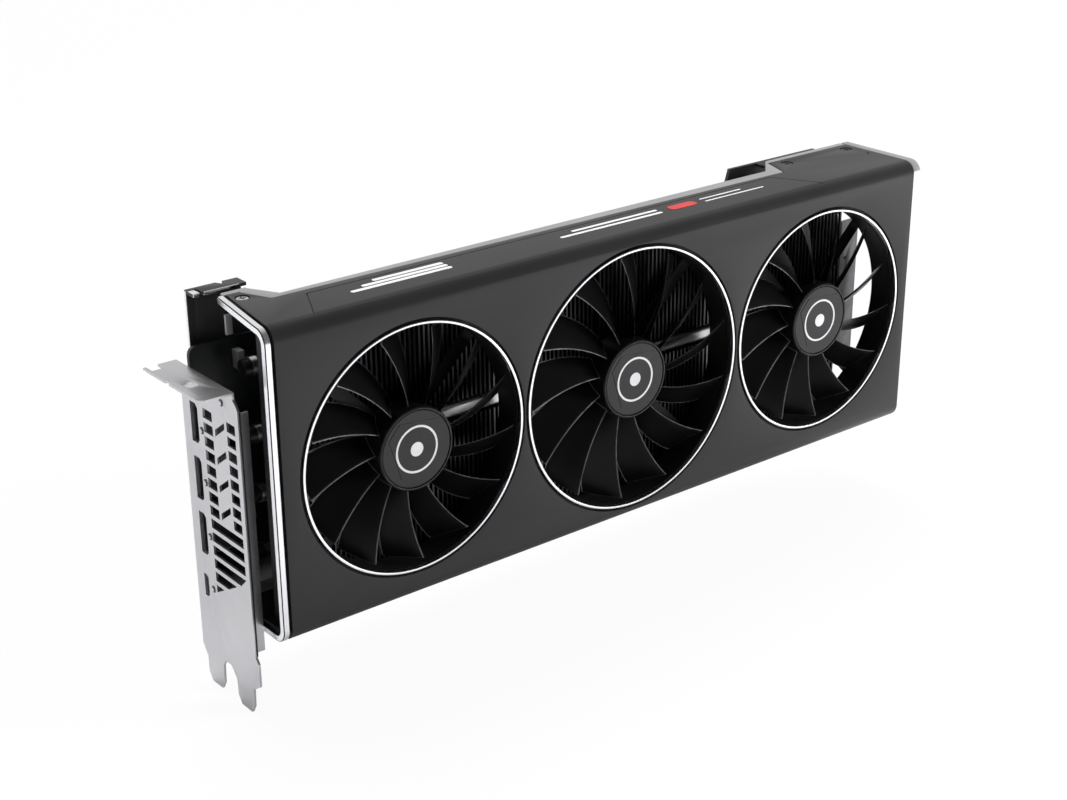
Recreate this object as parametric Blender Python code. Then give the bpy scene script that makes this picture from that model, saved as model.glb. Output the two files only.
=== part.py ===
"""Three-fan graphics card, built as its separate pieces.

Frame: +X runs from the slot bracket to the tail, the fans look towards -Y and
+Z points away from the host's slot.  The origin is on the bottom face of the
long tongue of the edge connector, half way along the tongue and half way
through the board.  Every size below is in millimetres, and MM turns it to metres.
"""
import math

import bmesh
import bpy
from mathutils import Vector

MM = 0.001
GAP = 0.3               # clearance between pieces that touch on the real card
SKIN = 1.0              # how far a cutter reaches past the wall that it cuts

# ---- circuit board and edge connector -------------------------------------
BOARD_T = 1.57
BOARD_X = (-95.9, 174.3)
BOARD_TOP = 109.4
SOCKET_STEP = (108.0, 116.4)    # the board is taller behind the power sockets: from x, up to z
BOARD_BOTTOM = 8.2
TONGUE_LONG = (-35.85, 35.8)
TONGUE_SHORT = (-49.4, -37.75)
BOARD_FRONT = -BOARD_T / 2
BOARD_BACK = BOARD_T / 2

# ---- shroud ----------------------------------------------------------------
FACE_Y = -46.2          # front face of the shroud
SHELL_X = (-90.4, 212.6)
SHELL_Z = (15.2, 127.6)
SHELL_R = 5.5
SHELL_T = 1.5
SHELL_BACK_Y = -8.6
FRAME_T = 1.2
FRAME_BACK_Y = -5.6
FRAME_INSET = SHELL_T + GAP
TRIM_X = (-93.0, -90.7)
TRIM_T = 2.2
CORNER_STEPS = 5
SCREW_HEAD_R = 2.2
# screws in the top flange: (x, y)
SHROUD_SCREWS = {
    "left": (-81.9, -14.2),
    "middle": (172.3, -13.5),
    "right": (206.8, -14.0),
}
# rear notch in the top flange, (x, y), in the shell and in the frame under it
SHELL_NOTCH = [(-79.8, 0), (-79.7, -9.8), (-74.7, -20.7), (161.9, -22.0), (166.7, -9.0), (166.9, 0)]
FRAME_NOTCH = [(-75.7, 2), (-75.7, -6.6), (-69.7, -17.6), (157.3, -16.2), (168.8, -4.7), (168.8, 2)]
LIP_X = 216.8           # how far the frame's lip stands out of the tail

# ---- fans -------------------------------------------------------------------
FAN_Z = 71.4
FAN_PITCH = 99.0
MIDDLE_FAN_X = 62.3
# name: (place along the row, ring radius, angle of the first blade's tip)
FANS = {
    "left": (MIDDLE_FAN_X - FAN_PITCH, 45.1, 79.0),
    "middle": (MIDDLE_FAN_X, 50.4, 70.3),
    "right": (MIDDLE_FAN_X + FAN_PITCH, 45.1, 79.0),
}
RING_W = 1.0            # bright ring, across
RING_GROOVE = 1.05      # dark groove round the ring
DUCT_WALL = 1.5
DUCT_DEPTH = 13.0       # from the front face
BLADES = 13
BLADE_TWIST = 0.44      # degrees of sweep for each millimetre of radius
BLADE_T = 1.0
BLADE_TIP_GAP = 2.05
BLADE_FRONT = (3.2, 1.4)    # leading edge behind the front face, at root and tip
BLADE_BACK = 10.6
BLADE_CHORD = (17.0, 12.5)  # angle covered by a blade, at root and tip
HUB_R = 15.2
HUB_FRONT = 0.3
HUB_BACK = 11.0
HUB_WALL = 1.3
BADGE_R = 14.0
BADGE_T = 0.6
MOTOR_BASE = 11.8
SHAFT_R = 1.2
BEARING_R = 3.3
BEARING_FRONT = 3.8
STRUTS = 4
STRUT_W = 5.0
ROUND_STEPS = 40
HUB_STEPS = 32
SMALL_STEPS = 20

# ---- cooler -------------------------------------------------------------------
FIN_Y = (-28.7, -13.5)
FIN_Z = (22.0, 121.0)
FIN_T = 0.5
FIN_PITCH = 3.6
FIN_SPINE = 0.6
FIN_LEFT_X = (-72.7, 56.3)
FIN_RIGHT_X = (59.3, 191.3)
PIPE_R = 3.0
PIPE_Y = -10.2
PIPE_ZS = (32.4, 54.6, 76.9, 101.5)
PIPE_X = (-82.0, 162.0)
FRONT_PIPE_Z = 72.2
FRONT_PIPE_H = 5.4
FRONT_PIPE_D = 4.0
FRONT_PIPE_X = (-72.2, 150.0)

# ---- processor ----------------------------------------------------------------
GPU_X = 5.0
GPU_Z = 63.0
MEMORY_STEP_Z = 17.0
MEMORY_OFFSET_X = 29.0

# ---- slot bracket ---------------------------------------------------------------
PLATE_X = -97.4         # outer face of the plate
PLATE_T = 0.86
PLATE_Y = (-35.0, 3.8)
PLATE_TOP = 103.1
PLATE_H = 120.02
TAB_LENGTH = 11.43
SLOT_PITCH = 20.32
VENT_TOP = 91.5
VENT_STEP = 5.1
VENT_CELL_H = 3.5
VENT_LEFT = (-31.0, -25.6)
VENT_CENTRE = (-24.0, -17.5)
VENT_RIGHT = (-16.0, -9.9)
VENT_FOOT_Z = (33.9, 22.2)      # slanting lower edge, at the vent's two sides
# small screw holes in the plate: (y, z)
PORT_SCREWS = [(-8.4, 82.6), (-8.2, 63.4), (-8.2, 43.0), (-7.4, 22.4), (-23.1, 97.4)]

# ---- backplate ------------------------------------------------------------------
BACKPLATE_Y = (3.9, 5.4)
BACKPLATE_X = (-92.6, 207.3)
BACKPLATE_TOP = 114.4
BACKPLATE_BOTTOM = 9.0


# ---- helpers ----------------------------------------------------------------------
def clear_scene():
    for item in list(bpy.data.objects):
        bpy.data.objects.remove(item, do_unlink=True)


def material(name, colour, roughness, metallic):
    """A plain Principled material."""
    made = bpy.data.materials.new(name)
    made.use_nodes = True
    shader = made.node_tree.nodes["Principled BSDF"]
    shader.inputs["Base Color"].default_value = (*colour, 1.0)
    shader.inputs["Roughness"].default_value = roughness
    shader.inputs["Metallic"].default_value = metallic
    return made


def arc(centre, radius, start, end, steps):
    """Points along an arc, with the angles in degrees."""
    points = []
    for step in range(steps + 1):
        angle = math.radians(start + (end - start) * step / steps)
        points.append((centre[0] + radius * math.cos(angle), centre[1] + radius * math.sin(angle)))
    return points


def rectangle(u, v):
    return [(u[0], v[0]), (u[1], v[0]), (u[1], v[1]), (u[0], v[1])]


def rounded_rectangle(u, v, radius, steps=4):
    corners = [
        ((u[1] - radius, v[1] - radius), 0),
        ((u[0] + radius, v[1] - radius), 90),
        ((u[0] + radius, v[0] + radius), 180),
        ((u[1] - radius, v[0] + radius), 270),
    ]
    points = []
    for centre, start in corners:
        points += arc(centre, radius, start, start + 90, steps)
    return points


def circle(centre, radius, steps):
    return arc(centre, radius, 0, 360, steps)[:-1]


def prism(bm, outline, axis, span):
    """Add a closed outline swept along one world axis."""
    order = {"X": (2, 0, 1), "Y": (0, 2, 1), "Z": (0, 1, 2)}[axis]
    ends = []
    for place in span:
        ring = []
        for u, v in outline:
            given = (u, v, place)
            ring.append(bm.verts.new(Vector([given[i] for i in order]) * MM))
        ends.append(ring)
    faces = [bm.faces.new(ends[0]), bm.faces.new(ends[1][::-1])]
    count = len(outline)
    for i in range(count):
        j = (i + 1) % count
        faces.append(bm.faces.new((ends[0][i], ends[1][i], ends[1][j], ends[0][j])))
    bmesh.ops.recalc_face_normals(bm, faces=faces)


def box(bm, x, y, z):
    prism(bm, rectangle(x, y), "Z", z)


def turned(bm, profile, steps, closed):
    """Turn (radius, y) points round the Y axis; closed joins the last point to the first."""
    rings = []
    for radius, y in profile:
        if radius == 0:
            rings.append([bm.verts.new(Vector((0, y, 0)) * MM)])
            continue
        ring = [bm.verts.new(Vector((u, y, v)) * MM) for u, v in circle((0, 0), radius, steps)]
        rings.append(ring)
    pairs = list(zip(rings, rings[1:]))
    if closed:
        pairs.append((rings[-1], rings[0]))
    faces = []
    for low, high in pairs:
        for i in range(steps):
            j = (i + 1) % steps
            corners = [low[i % len(low)], low[j % len(low)],
                       high[j % len(high)], high[i % len(high)]]
            unique = list(dict.fromkeys(corners))
            faces.append(bm.faces.new(unique))
    bmesh.ops.recalc_face_normals(bm, faces=faces)


def finish(name, bm, finish_material=None, location=(0, 0, 0)):
    """Turn a bmesh into a named object."""
    mesh = bpy.data.meshes.new(name)
    bm.to_mesh(mesh)
    bm.free()
    item = bpy.data.objects.new(name, mesh)
    item.location = Vector(location) * MM
    bpy.context.scene.collection.objects.link(item)
    if finish_material:
        mesh.materials.append(finish_material)
    else:
        item.hide_render = True
        item.display_type = "WIRE"
    return item


def smooth(item):
    item.data.shade_smooth()
    item.data.set_sharp_from_angle(angle=math.radians(35))
    return item


def combine(item, tool, operation):
    modifier = item.modifiers.new(operation.title(), "BOOLEAN")
    modifier.operation = operation
    modifier.solver = "EXACT"
    modifier.object = tool


def cut(item, tool):
    combine(item, tool, "DIFFERENCE")


def fuse(item, tool):
    combine(item, tool, "UNION")


def fan_places():
    for name, (x, ring_r, tip_angle) in FANS.items():
        yield name, x, ring_r, tip_angle


# ---- shroud -----------------------------------------------------------------------
def channel_path(inset, back_y):
    """One side of the shroud's U section, from the top flange to the bottom flange."""
    top = SHELL_Z[1] - inset
    bottom = SHELL_Z[0] + inset
    corner_y = FACE_Y + SHELL_R
    radius = SHELL_R - inset
    path = [(back_y, top)]
    path += arc((corner_y, SHELL_Z[1] - SHELL_R), radius, 90, 180, CORNER_STEPS)
    path += arc((corner_y, SHELL_Z[0] + SHELL_R), radius, 180, 270, CORNER_STEPS)
    path.append((back_y, bottom))
    return path


def channel_outline(inset, wall, back_y):
    return channel_path(inset, back_y) + channel_path(inset + wall, back_y)[::-1]


def make_shroud_shell(finish_material):
    bm = bmesh.new()
    prism(bm, channel_outline(0, SHELL_T, SHELL_BACK_Y), "X", SHELL_X)
    shell = smooth(finish("shroud_shell", bm, finish_material))

    holes = bmesh.new()
    for _, x, ring_r, _ in fan_places():
        radius = ring_r + RING_W / 2 + RING_GROOVE
        prism(holes, circle((x, FAN_Z), radius, ROUND_STEPS), "Y", (FACE_Y - SKIN, FACE_Y + SHELL_R))
    through = (SHELL_Z[1] - SHELL_T - SKIN, SHELL_Z[1] + SKIN)
    prism(holes, SHELL_NOTCH, "Z", through)
    for place in SHROUD_SCREWS.values():
        prism(holes, circle(place, SCREW_HEAD_R + GAP, 12), "Z", through)
    cut(shell, finish("cutter_shell", holes))


def make_shroud_end_trim(finish_material):
    bm = bmesh.new()
    prism(bm, channel_outline(0, TRIM_T, SHELL_BACK_Y), "X", TRIM_X)
    smooth(finish("shroud_end_trim", bm, finish_material))


def make_fan_frame(finish_material):
    """The inner channel that the fan mounts are screwed to."""
    span = (SHELL_X[0] + 1.0, SHELL_X[1] - 0.4)
    bm = bmesh.new()
    prism(bm, channel_outline(FRAME_INSET, FRAME_T, FRAME_BACK_Y), "X", span)
    frame = smooth(finish("fan_frame", bm, finish_material))

    holes = bmesh.new()
    front = FACE_Y + FRAME_INSET
    for _, x, ring_r, _ in fan_places():
        through = (front - SKIN, front + FRAME_T + SKIN)
        prism(holes, circle((x, FAN_Z), ring_r - RING_W / 2, ROUND_STEPS), "Y", through)
    top = SHELL_Z[1] - FRAME_INSET
    prism(holes, FRAME_NOTCH, "Z", (top - FRAME_T - SKIN, top + SKIN))
    cut(frame, finish("cutter_frame", holes))

    lip = bmesh.new()
    prism(lip, lip_outline(), "X", (span[1] - 2.0, LIP_X))
    fuse(frame, finish("guide_lip", lip))


def make_fan_mount(name, x, ring_r, finish_material):
    """Duct with a motor disc on four struts and the bearing tube that holds the shaft."""
    inner = ring_r - RING_W / 2
    front, back = FACE_Y + FRAME_INSET + FRAME_T + GAP, FACE_Y + DUCT_DEPTH
    bm = bmesh.new()
    turned(bm, [(inner, front), (inner + DUCT_WALL, front), (inner + DUCT_WALL, back), (inner, back)],
           ROUND_STEPS, True)
    mount = smooth(finish("fan_mount_" + name, bm, finish_material, (x, 0, FAN_Z)))

    spider = bmesh.new()
    disc = (FACE_Y + MOTOR_BASE, back - 0.2)
    prism(spider, spider_outline((x, FAN_Z), inner + DUCT_WALL / 2), "Y", disc)
    fuse(mount, finish("guide_spider_" + name, spider))
    tube = bmesh.new()
    tube_y = (FACE_Y + BEARING_FRONT, FACE_Y + MOTOR_BASE + 0.5)
    prism(tube, circle((x, FAN_Z), BEARING_R, SMALL_STEPS), "Y", tube_y)
    fuse(mount, finish("guide_tube_" + name, tube))
    bore = bmesh.new()
    bore_y = (tube_y[0] - SKIN, FACE_Y + MOTOR_BASE - 0.1)
    prism(bore, circle((x, FAN_Z), SHAFT_R + 0.1, SMALL_STEPS), "Y", bore_y)
    cut(mount, finish("cutter_bore_" + name, bore))


def spider_outline(centre, reach):
    """A motor disc with square-ended struts, as one outline."""
    disc = HUB_R - 0.8
    half = math.degrees(math.asin(STRUT_W / 2 / disc))
    points = []
    for strut in range(STRUTS):
        middle = 45 + strut * 360 / STRUTS
        turn = math.radians(middle)
        across = Vector((-math.sin(turn), math.cos(turn))) * STRUT_W / 2
        along = Vector((math.cos(turn), math.sin(turn))) * reach
        for side in (-1, 1):
            tip = along + across * side
            points.append((centre[0] + tip.x, centre[1] + tip.y))
        points += arc(centre, disc, middle + half, middle + 360 / STRUTS - half, 5)
    return points


def lip_outline():
    """The strip that stands out of the tail end, over the top and round the front corner."""
    inner = FRAME_INSET + FRAME_T
    centre = (FACE_Y + SHELL_R, SHELL_Z[1] - SHELL_R)
    outside = [(FRAME_BACK_Y, SHELL_Z[1] - FRAME_INSET)]
    outside += arc(centre, SHELL_R - FRAME_INSET, 90, 165, CORNER_STEPS)
    inside = [(FRAME_BACK_Y, SHELL_Z[1] - inner)]
    inside += arc(centre, SHELL_R - inner, 90, 165, CORNER_STEPS)
    return outside + inside[::-1]


def make_fan_ring(name, x, ring_r, finish_material):
    low, high = FACE_Y - 0.3, FACE_Y + SHELL_T
    profile = [(ring_r - RING_W / 2, low), (ring_r + RING_W / 2, low),
               (ring_r + RING_W / 2, high), (ring_r - RING_W / 2, high)]
    bm = bmesh.new()
    turned(bm, profile, ROUND_STEPS, True)
    smooth(finish("fan_ring_" + name, bm, finish_material, (x, 0, FAN_Z)))


# ---- fan ----------------------------------------------------------------------------
def blade_point(radius, share, tip_r, tip_angle, across, offset):
    """A point on a blade: share runs from root to tip and across from front to back edge."""
    angle = tip_angle - BLADE_TWIST * (tip_r - radius)
    angle -= across * (BLADE_CHORD[0] + (BLADE_CHORD[1] - BLADE_CHORD[0]) * share)
    front = BLADE_FRONT[0] + (BLADE_FRONT[1] - BLADE_FRONT[0]) * share
    depth = front + (BLADE_BACK - front) * across
    angle = math.radians(angle)
    return Vector((radius * math.cos(angle), FACE_Y + depth + offset, radius * math.sin(angle))) * MM


def add_blade(bm, tip_r, tip_angle, stations=4):
    """One swept blade as a closed solid whose root is inside the hub's wall."""
    root_r = HUB_R - 0.7
    rows = []
    for offset in (-BLADE_T / 2, BLADE_T / 2):
        row = []
        for station in range(stations):
            share = station / (stations - 1)
            radius = root_r + (tip_r - root_r) * share
            points = [blade_point(radius, share, tip_r, tip_angle, across, offset)
                      for across in (0.0, 0.5, 1.0)]
            row.append([bm.verts.new(point) for point in points])
        rows.append(row)
    front, back = rows
    faces = []
    last = stations - 1
    for i in range(last):
        for j in range(2):
            for side in rows:
                faces.append(bm.faces.new((side[i][j], side[i + 1][j],
                                           side[i + 1][j + 1], side[i][j + 1])))
        for j in (0, 2):
            faces.append(bm.faces.new((front[i][j], front[i + 1][j], back[i + 1][j], back[i][j])))
    for i in (0, last):
        for j in range(2):
            faces.append(bm.faces.new((front[i][j], front[i][j + 1],
                                       back[i][j + 1], back[i][j])))
    bmesh.ops.recalc_face_normals(bm, faces=faces)


def make_fan_rotor(name, x, ring_r, tip_angle, finish_material):
    """Hub cup with its blades, centred on its own axis."""
    recess = HUB_FRONT + BADGE_T + GAP
    inner_r = HUB_R - HUB_WALL
    profile = [(0, recess), (BADGE_R + GAP, recess), (BADGE_R + GAP, HUB_FRONT),
               (HUB_R, HUB_FRONT), (HUB_R, HUB_BACK), (inner_r, HUB_BACK),
               (inner_r, recess + HUB_WALL), (0, recess + HUB_WALL)]
    bm = bmesh.new()
    turned(bm, [(radius, FACE_Y + depth) for radius, depth in profile], HUB_STEPS, False)
    rotor = smooth(finish("fan_rotor_" + name, bm, finish_material, (x, 0, FAN_Z)))

    blades = bmesh.new()
    tip_r = ring_r - RING_W / 2 - BLADE_TIP_GAP
    for blade in range(BLADES):
        add_blade(blades, tip_r, tip_angle + blade * 360 / BLADES)
    fuse(rotor, finish("guide_blades_" + name, blades, None, (x, 0, FAN_Z)))


def make_fan_parts(name, x, finishes):
    """Badge, shaft and magnet turn with the rotor; the stator sits on the motor disc."""
    badge_front = HUB_FRONT + 0.1
    magnet_r = HUB_R - HUB_WALL - GAP
    shaft_start = HUB_FRONT + BADGE_T + GAP + HUB_WALL + GAP
    base = MOTOR_BASE - GAP
    discs = {
        "fan_badge_": ([(0, badge_front), (BADGE_R, badge_front),
                        (BADGE_R, badge_front + BADGE_T), (0, badge_front + BADGE_T)], False),
        "fan_shaft_": ([(0, shaft_start), (SHAFT_R, shaft_start),
                        (SHAFT_R, base), (0, base)], False),
        "fan_magnet_": ([(magnet_r - 1.3, 3.2), (magnet_r, 3.2),
                         (magnet_r, 10.4), (magnet_r - 1.3, 10.4)], True),
        "fan_stator_": ([(BEARING_R + GAP, 4.2), (magnet_r - 1.8, 4.2),
                         (magnet_r - 1.8, base), (BEARING_R + GAP, base)], True),
    }
    for prefix, (profile, closed) in discs.items():
        bm = bmesh.new()
        turned(bm, [(radius, FACE_Y + depth) for radius, depth in profile], SMALL_STEPS, closed)
        smooth(finish(prefix + name, bm, finishes[prefix], (x, 0, FAN_Z)))


# ---- cooler ------------------------------------------------------------------------
def fin_comb_outline(span):
    """Fins side by side, joined at the back by their folded tabs."""
    count = round((span[1] - span[0] - FIN_T) / FIN_PITCH)
    step = (span[1] - span[0] - FIN_T) / count
    front, back = FIN_Y
    floor = back - FIN_SPINE
    points = []
    for fin in range(count + 1):
        x = span[0] + fin * step
        if fin:
            points.append((x, floor))
        points += [(x, front), (x + FIN_T, front)]
        if fin < count:
            points.append((x + FIN_T, floor))
    return points + [(span[1], back), (span[0], back)]


def make_fin_stack(name, span, finish_material):
    bm = bmesh.new()
    prism(bm, fin_comb_outline(span), "Z", FIN_Z)
    stack = finish(name, bm, finish_material)
    groove = bmesh.new()
    half = FRONT_PIPE_H / 2 + GAP
    depth = (FIN_Y[0] - SKIN, FIN_Y[0] + FRONT_PIPE_D + GAP)
    box(groove, (span[0] - SKIN, span[1] + SKIN), depth,
        (FRONT_PIPE_Z - half, FRONT_PIPE_Z + half))
    cut(stack, finish("cutter_" + name, groove))


def capsule_outline(span, radius, steps=4):
    """Half of a round-ended rod, as (radius, place) points from end to end."""
    start = [(radius * math.sin(a), span[0] + radius - radius * math.cos(a))
             for a in (math.pi / 2 * step / steps for step in range(steps + 1))]
    end = [(r, span[0] + span[1] - place) for r, place in reversed(start)]
    return start + end


def make_heat_pipes(finish_material):
    for number, z in enumerate(PIPE_ZS, 1):
        bm = bmesh.new()
        turned(bm, capsule_outline(PIPE_X, PIPE_R, 3), 12, False)
        pipe = smooth(finish(f"heat_pipe_{number}", bm, finish_material, (0, PIPE_Y, z)))
        pipe.rotation_euler = (0, 0, -math.pi / 2)

    bm = bmesh.new()
    y = (FIN_Y[0] - 0.2, FIN_Y[0] - 0.2 + FRONT_PIPE_D)
    z = (FRONT_PIPE_Z - FRONT_PIPE_H / 2, FRONT_PIPE_Z + FRONT_PIPE_H / 2)
    prism(bm, rounded_rectangle(y, z, 1.2, 3), "X", FRONT_PIPE_X)
    smooth(finish("heat_pipe_front", bm, finish_material))


def make_cold_plate(finish_material):
    """The plate that takes heat from the processor and memory to the pipes."""
    front = PIPE_Y + PIPE_R + GAP
    bm = bmesh.new()
    face = rounded_rectangle((GPU_X - 40, GPU_X + 40), (GPU_Z - 36, GPU_Z + 38), 3, 3)
    prism(bm, face, "Y", (front, front + 2.2))
    plate = finish("cold_plate", bm, finish_material)
    pad = bmesh.new()
    box(pad, (GPU_X - 16, GPU_X + 16), (front + 1.0, -3.3), (GPU_Z - 14, GPU_Z + 14))
    fuse(plate, finish("guide_cold_pad", pad))


def make_cooler_end_bracket(finish_material):
    """Upright strip behind the last fins, with a leg back to the backplate."""
    bm = bmesh.new()
    outline = [(193.5, -26.0), (203.6, -26.0), (203.6, -24.6),
               (194.9, -24.6), (194.9, 3.6), (193.5, 3.6)]
    prism(bm, outline, "Z", (43.0, 101.4))
    bracket = finish("cooler_end_bracket", bm, finish_material)
    hole = bmesh.new()
    prism(hole, circle((196.6, 85.2), 0.8, 10), "Y", (-26.0 - SKIN, -24.6 + SKIN))
    cut(bracket, finish("cutter_end_bracket", hole))


# ---- board --------------------------------------------------------------------------
def board_outline():
    """Board with its edge connector, key notch and retention hook."""
    low = 0.6
    short, long = TONGUE_SHORT, TONGUE_LONG
    points = [(BOARD_X[0], BOARD_BOTTOM), (short[0], BOARD_BOTTOM), (short[0], low),
              (short[0] + low, 0), (short[1] - low, 0), (short[1], low), (short[1], BOARD_BOTTOM - 0.7),
              (long[0], BOARD_BOTTOM - 0.7), (long[0], low), (long[0] + low, 0),
              (long[1] - low, 0), (long[1], low), (long[1], BOARD_BOTTOM + 1.3),
              (38.6, BOARD_BOTTOM + 1.3), (38.6, 1.2), (44.4, 1.2), (46.6, 3.4), (46.6, BOARD_BOTTOM),
              (BOARD_X[1], BOARD_BOTTOM), (BOARD_X[1], SOCKET_STEP[1]), SOCKET_STEP,
              (SOCKET_STEP[0] - 2.0, BOARD_TOP)]
    return points + arc((BOARD_X[0] + 3, BOARD_TOP - 3), 3, 90, 180, 4)


def make_board(finish_material):
    bm = bmesh.new()
    prism(bm, board_outline(), "Y", (BOARD_FRONT, BOARD_BACK))
    board = finish("circuit_board", bm, finish_material)
    holes = bmesh.new()
    for x, z in spring_screw_places():
        prism(holes, circle((x, z), 1.6 + GAP, 10), "Y", (-2, 2))
    cut(board, finish("cutter_board", holes))


def make_block(name, x, y, z, finish_material):
    bm = bmesh.new()
    box(bm, x, y, z)
    finish(name, bm, finish_material)


def make_chips(finishes):
    front = BOARD_FRONT - GAP
    make_block("gpu_package", (GPU_X - 20, GPU_X + 20), (front - 0.9, front),
               (GPU_Z - 20, GPU_Z + 20), finishes["package"])
    make_block("gpu_die", (GPU_X - 12.5, GPU_X + 12.5), (front - 1.9, front - 1.2),
               (GPU_Z - 10, GPU_Z + 10), finishes["die"])
    number = 0
    for side, label in ((-1, "left"), (1, "right")):
        x = GPU_X + side * MEMORY_OFFSET_X
        for row in (-1, 0, 1):
            number += 1
            z = GPU_Z + row * MEMORY_STEP_Z
            make_block(f"memory_chip_{number}", (x - 6, x + 6), (front - 1.1, front),
                       (z - 7, z + 7), finishes["chip"])
        make_block(f"thermal_pad_{label}", (x - 6.5, x + 6.5), (-4.4, front - 1.1 - GAP),
                   (GPU_Z - 25, GPU_Z + 25), finishes["pad"])


# ---- ports and sockets ---------------------------------------------------------------
def port_outline(y, z, inset, chamfer):
    """Rectangle in (y, z) with the two corners away from the board cut off."""
    y0, y1 = y[0] + inset, y[1] - inset
    z0, z1 = z[0] + inset, z[1] - inset
    return [(y0, z0 + chamfer), (y0 + chamfer, z0), (y1, z0), (y1, z1),
            (y0 + chamfer, z1), (y0, z1 - chamfer)]


def make_port(name, z, height, width, depth, tongue, chamfer, finish_material):
    """Metal port shell open towards the bracket, with its contact tongue inside."""
    mouth = PLATE_X + PLATE_T + GAP
    back = BOARD_FRONT - GAP
    low = back - width
    wall = 0.5

    spans = (low, back), (z - height / 2, z + height / 2)
    bm = bmesh.new()
    prism(bm, port_outline(*spans, 0, chamfer), "X", (mouth, mouth + depth))
    port = finish(name, bm, finish_material)
    hollow = bmesh.new()
    inner_chamfer = max(chamfer - wall / 2, GAP)
    prism(hollow, port_outline(*spans, wall, inner_chamfer), "X", (mouth - SKIN, mouth + depth - 1.5))
    cut(port, finish("cutter_" + name, hollow))
    blade = bmesh.new()
    middle = (low + back) / 2
    box(blade, (mouth + 1.0, mouth + depth - 1.0), (middle - tongue / 2, middle + tongue / 2),
        (z - height / 2 + 2.0, z + height / 2 - 2.0))
    fuse(port, finish("guide_" + name, blade))


PORTS = {
    # name: (centre height, length, width, depth, tongue thickness, corner cut)
    "video_port_wide": (84.1, 15.0, 5.4, 12.0, 0.9, 1.4),
    "video_port_upper": (63.4, 16.2, 5.2, 16.0, 1.0, 1.2),
    "video_port_lower": (42.6, 16.2, 5.2, 16.0, 1.0, 1.2),
    "round_port": (22.1, 9.0, 3.4, 7.6, 0.7, 1.0),
}


def make_ports(finish_material):
    for name, sizes in PORTS.items():
        make_port(name, *sizes, finish_material)


def make_power_sockets(finish_material):
    """Two power sockets on the board's top edge, each with two rows of four cavities."""
    front, back = -12.0, BOARD_FRONT - GAP
    low, high = 107.8, 121.0
    for label, x0 in (("left", 118.5), ("right", 139.0)):
        bm = bmesh.new()
        box(bm, (x0, x0 + 18.6), (front, back), (low, high))
        socket = finish("power_socket_" + label, bm, finish_material)
        holes = bmesh.new()
        middle = (front + back) / 2
        for column in range(4):
            x = x0 + 9.3 + (column - 1.5) * 4.2
            for y in (middle - 2.1, middle + 2.1):
                box(holes, (x - 1.6, x + 1.6), (y - 1.6, y + 1.6), (high - 8, high + SKIN))
        cut(socket, finish("cutter_power_" + label, holes))


# ---- slot bracket ---------------------------------------------------------------------
def plate_outline():
    """The bracket's plate in (y, z), with its two tongues."""
    bottom = PLATE_TOP - PLATE_H
    front, back = PLATE_Y
    neck = -3.6
    tongues = (-4.6 - SLOT_PITCH, -4.6)
    points = [(back, PLATE_TOP), (back, neck), (tongues[1] + 5.6, neck - 4.2)]
    for place in reversed(tongues):
        points += [(place + 5.4, bottom + 3), (place + 3.4, bottom),
                   (place - 3.4, bottom), (place - 5.2, bottom + 3)]
        if place == tongues[1]:
            points += [(place - 5.6, neck - 3), (place - 7.4, neck - 0.4),
                       (place - 11.4, neck - 0.4), (tongues[0] + 5.6, neck - 4.4)]
    points += [(tongues[0] - 5.6, neck - 3.4), (front - 0.1, neck - 0.4), (front - 0.1, 4.8),
               (front + 1.6, 7.0), (front + 1.6, 97.6), (front + 2.6, 99.2),
               (front + 4.4, 100.6), (front + 4.4, PLATE_TOP)]
    return points


def vent_cells():
    """Rectangles and bars of the air vent, as lists of (y, z) points."""
    for row in range(8):
        top = VENT_TOP - row * VENT_STEP
        for side in (VENT_LEFT, VENT_RIGHT):
            yield rectangle(side, (top - VENT_CELL_H, top))
        if row % 2 == 0:
            yield [(VENT_CENTRE[0], top - 1.0), (VENT_CENTRE[1], top - 5.6),
                   (VENT_CENTRE[1], top - 8.0), (VENT_CENTRE[0], top - 3.4)]
    full = (VENT_LEFT[0], VENT_RIGHT[1])
    for row in range(8, 11):
        top = VENT_TOP - row * VENT_STEP
        yield rectangle(full, (top - VENT_CELL_H, top))
    for row in (11, 12):
        top = VENT_TOP - row * VENT_STEP
        low = top - VENT_CELL_H
        yield [(max(vent_foot_y(top), full[0]), top), (full[1], top),
               (full[1], low), (vent_foot_y(low), low)]
    top = VENT_TOP - 13 * VENT_STEP
    yield [(vent_foot_y(top), top), (full[1], top), (full[1], VENT_FOOT_Z[1])]


def vent_foot_y(z):
    """Where the vent's slanting lower edge is at height z."""
    slope = (VENT_RIGHT[1] - VENT_LEFT[0]) / (VENT_FOOT_Z[1] - VENT_FOOT_Z[0])
    return VENT_LEFT[0] + (z - VENT_FOOT_Z[0]) * slope


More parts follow.
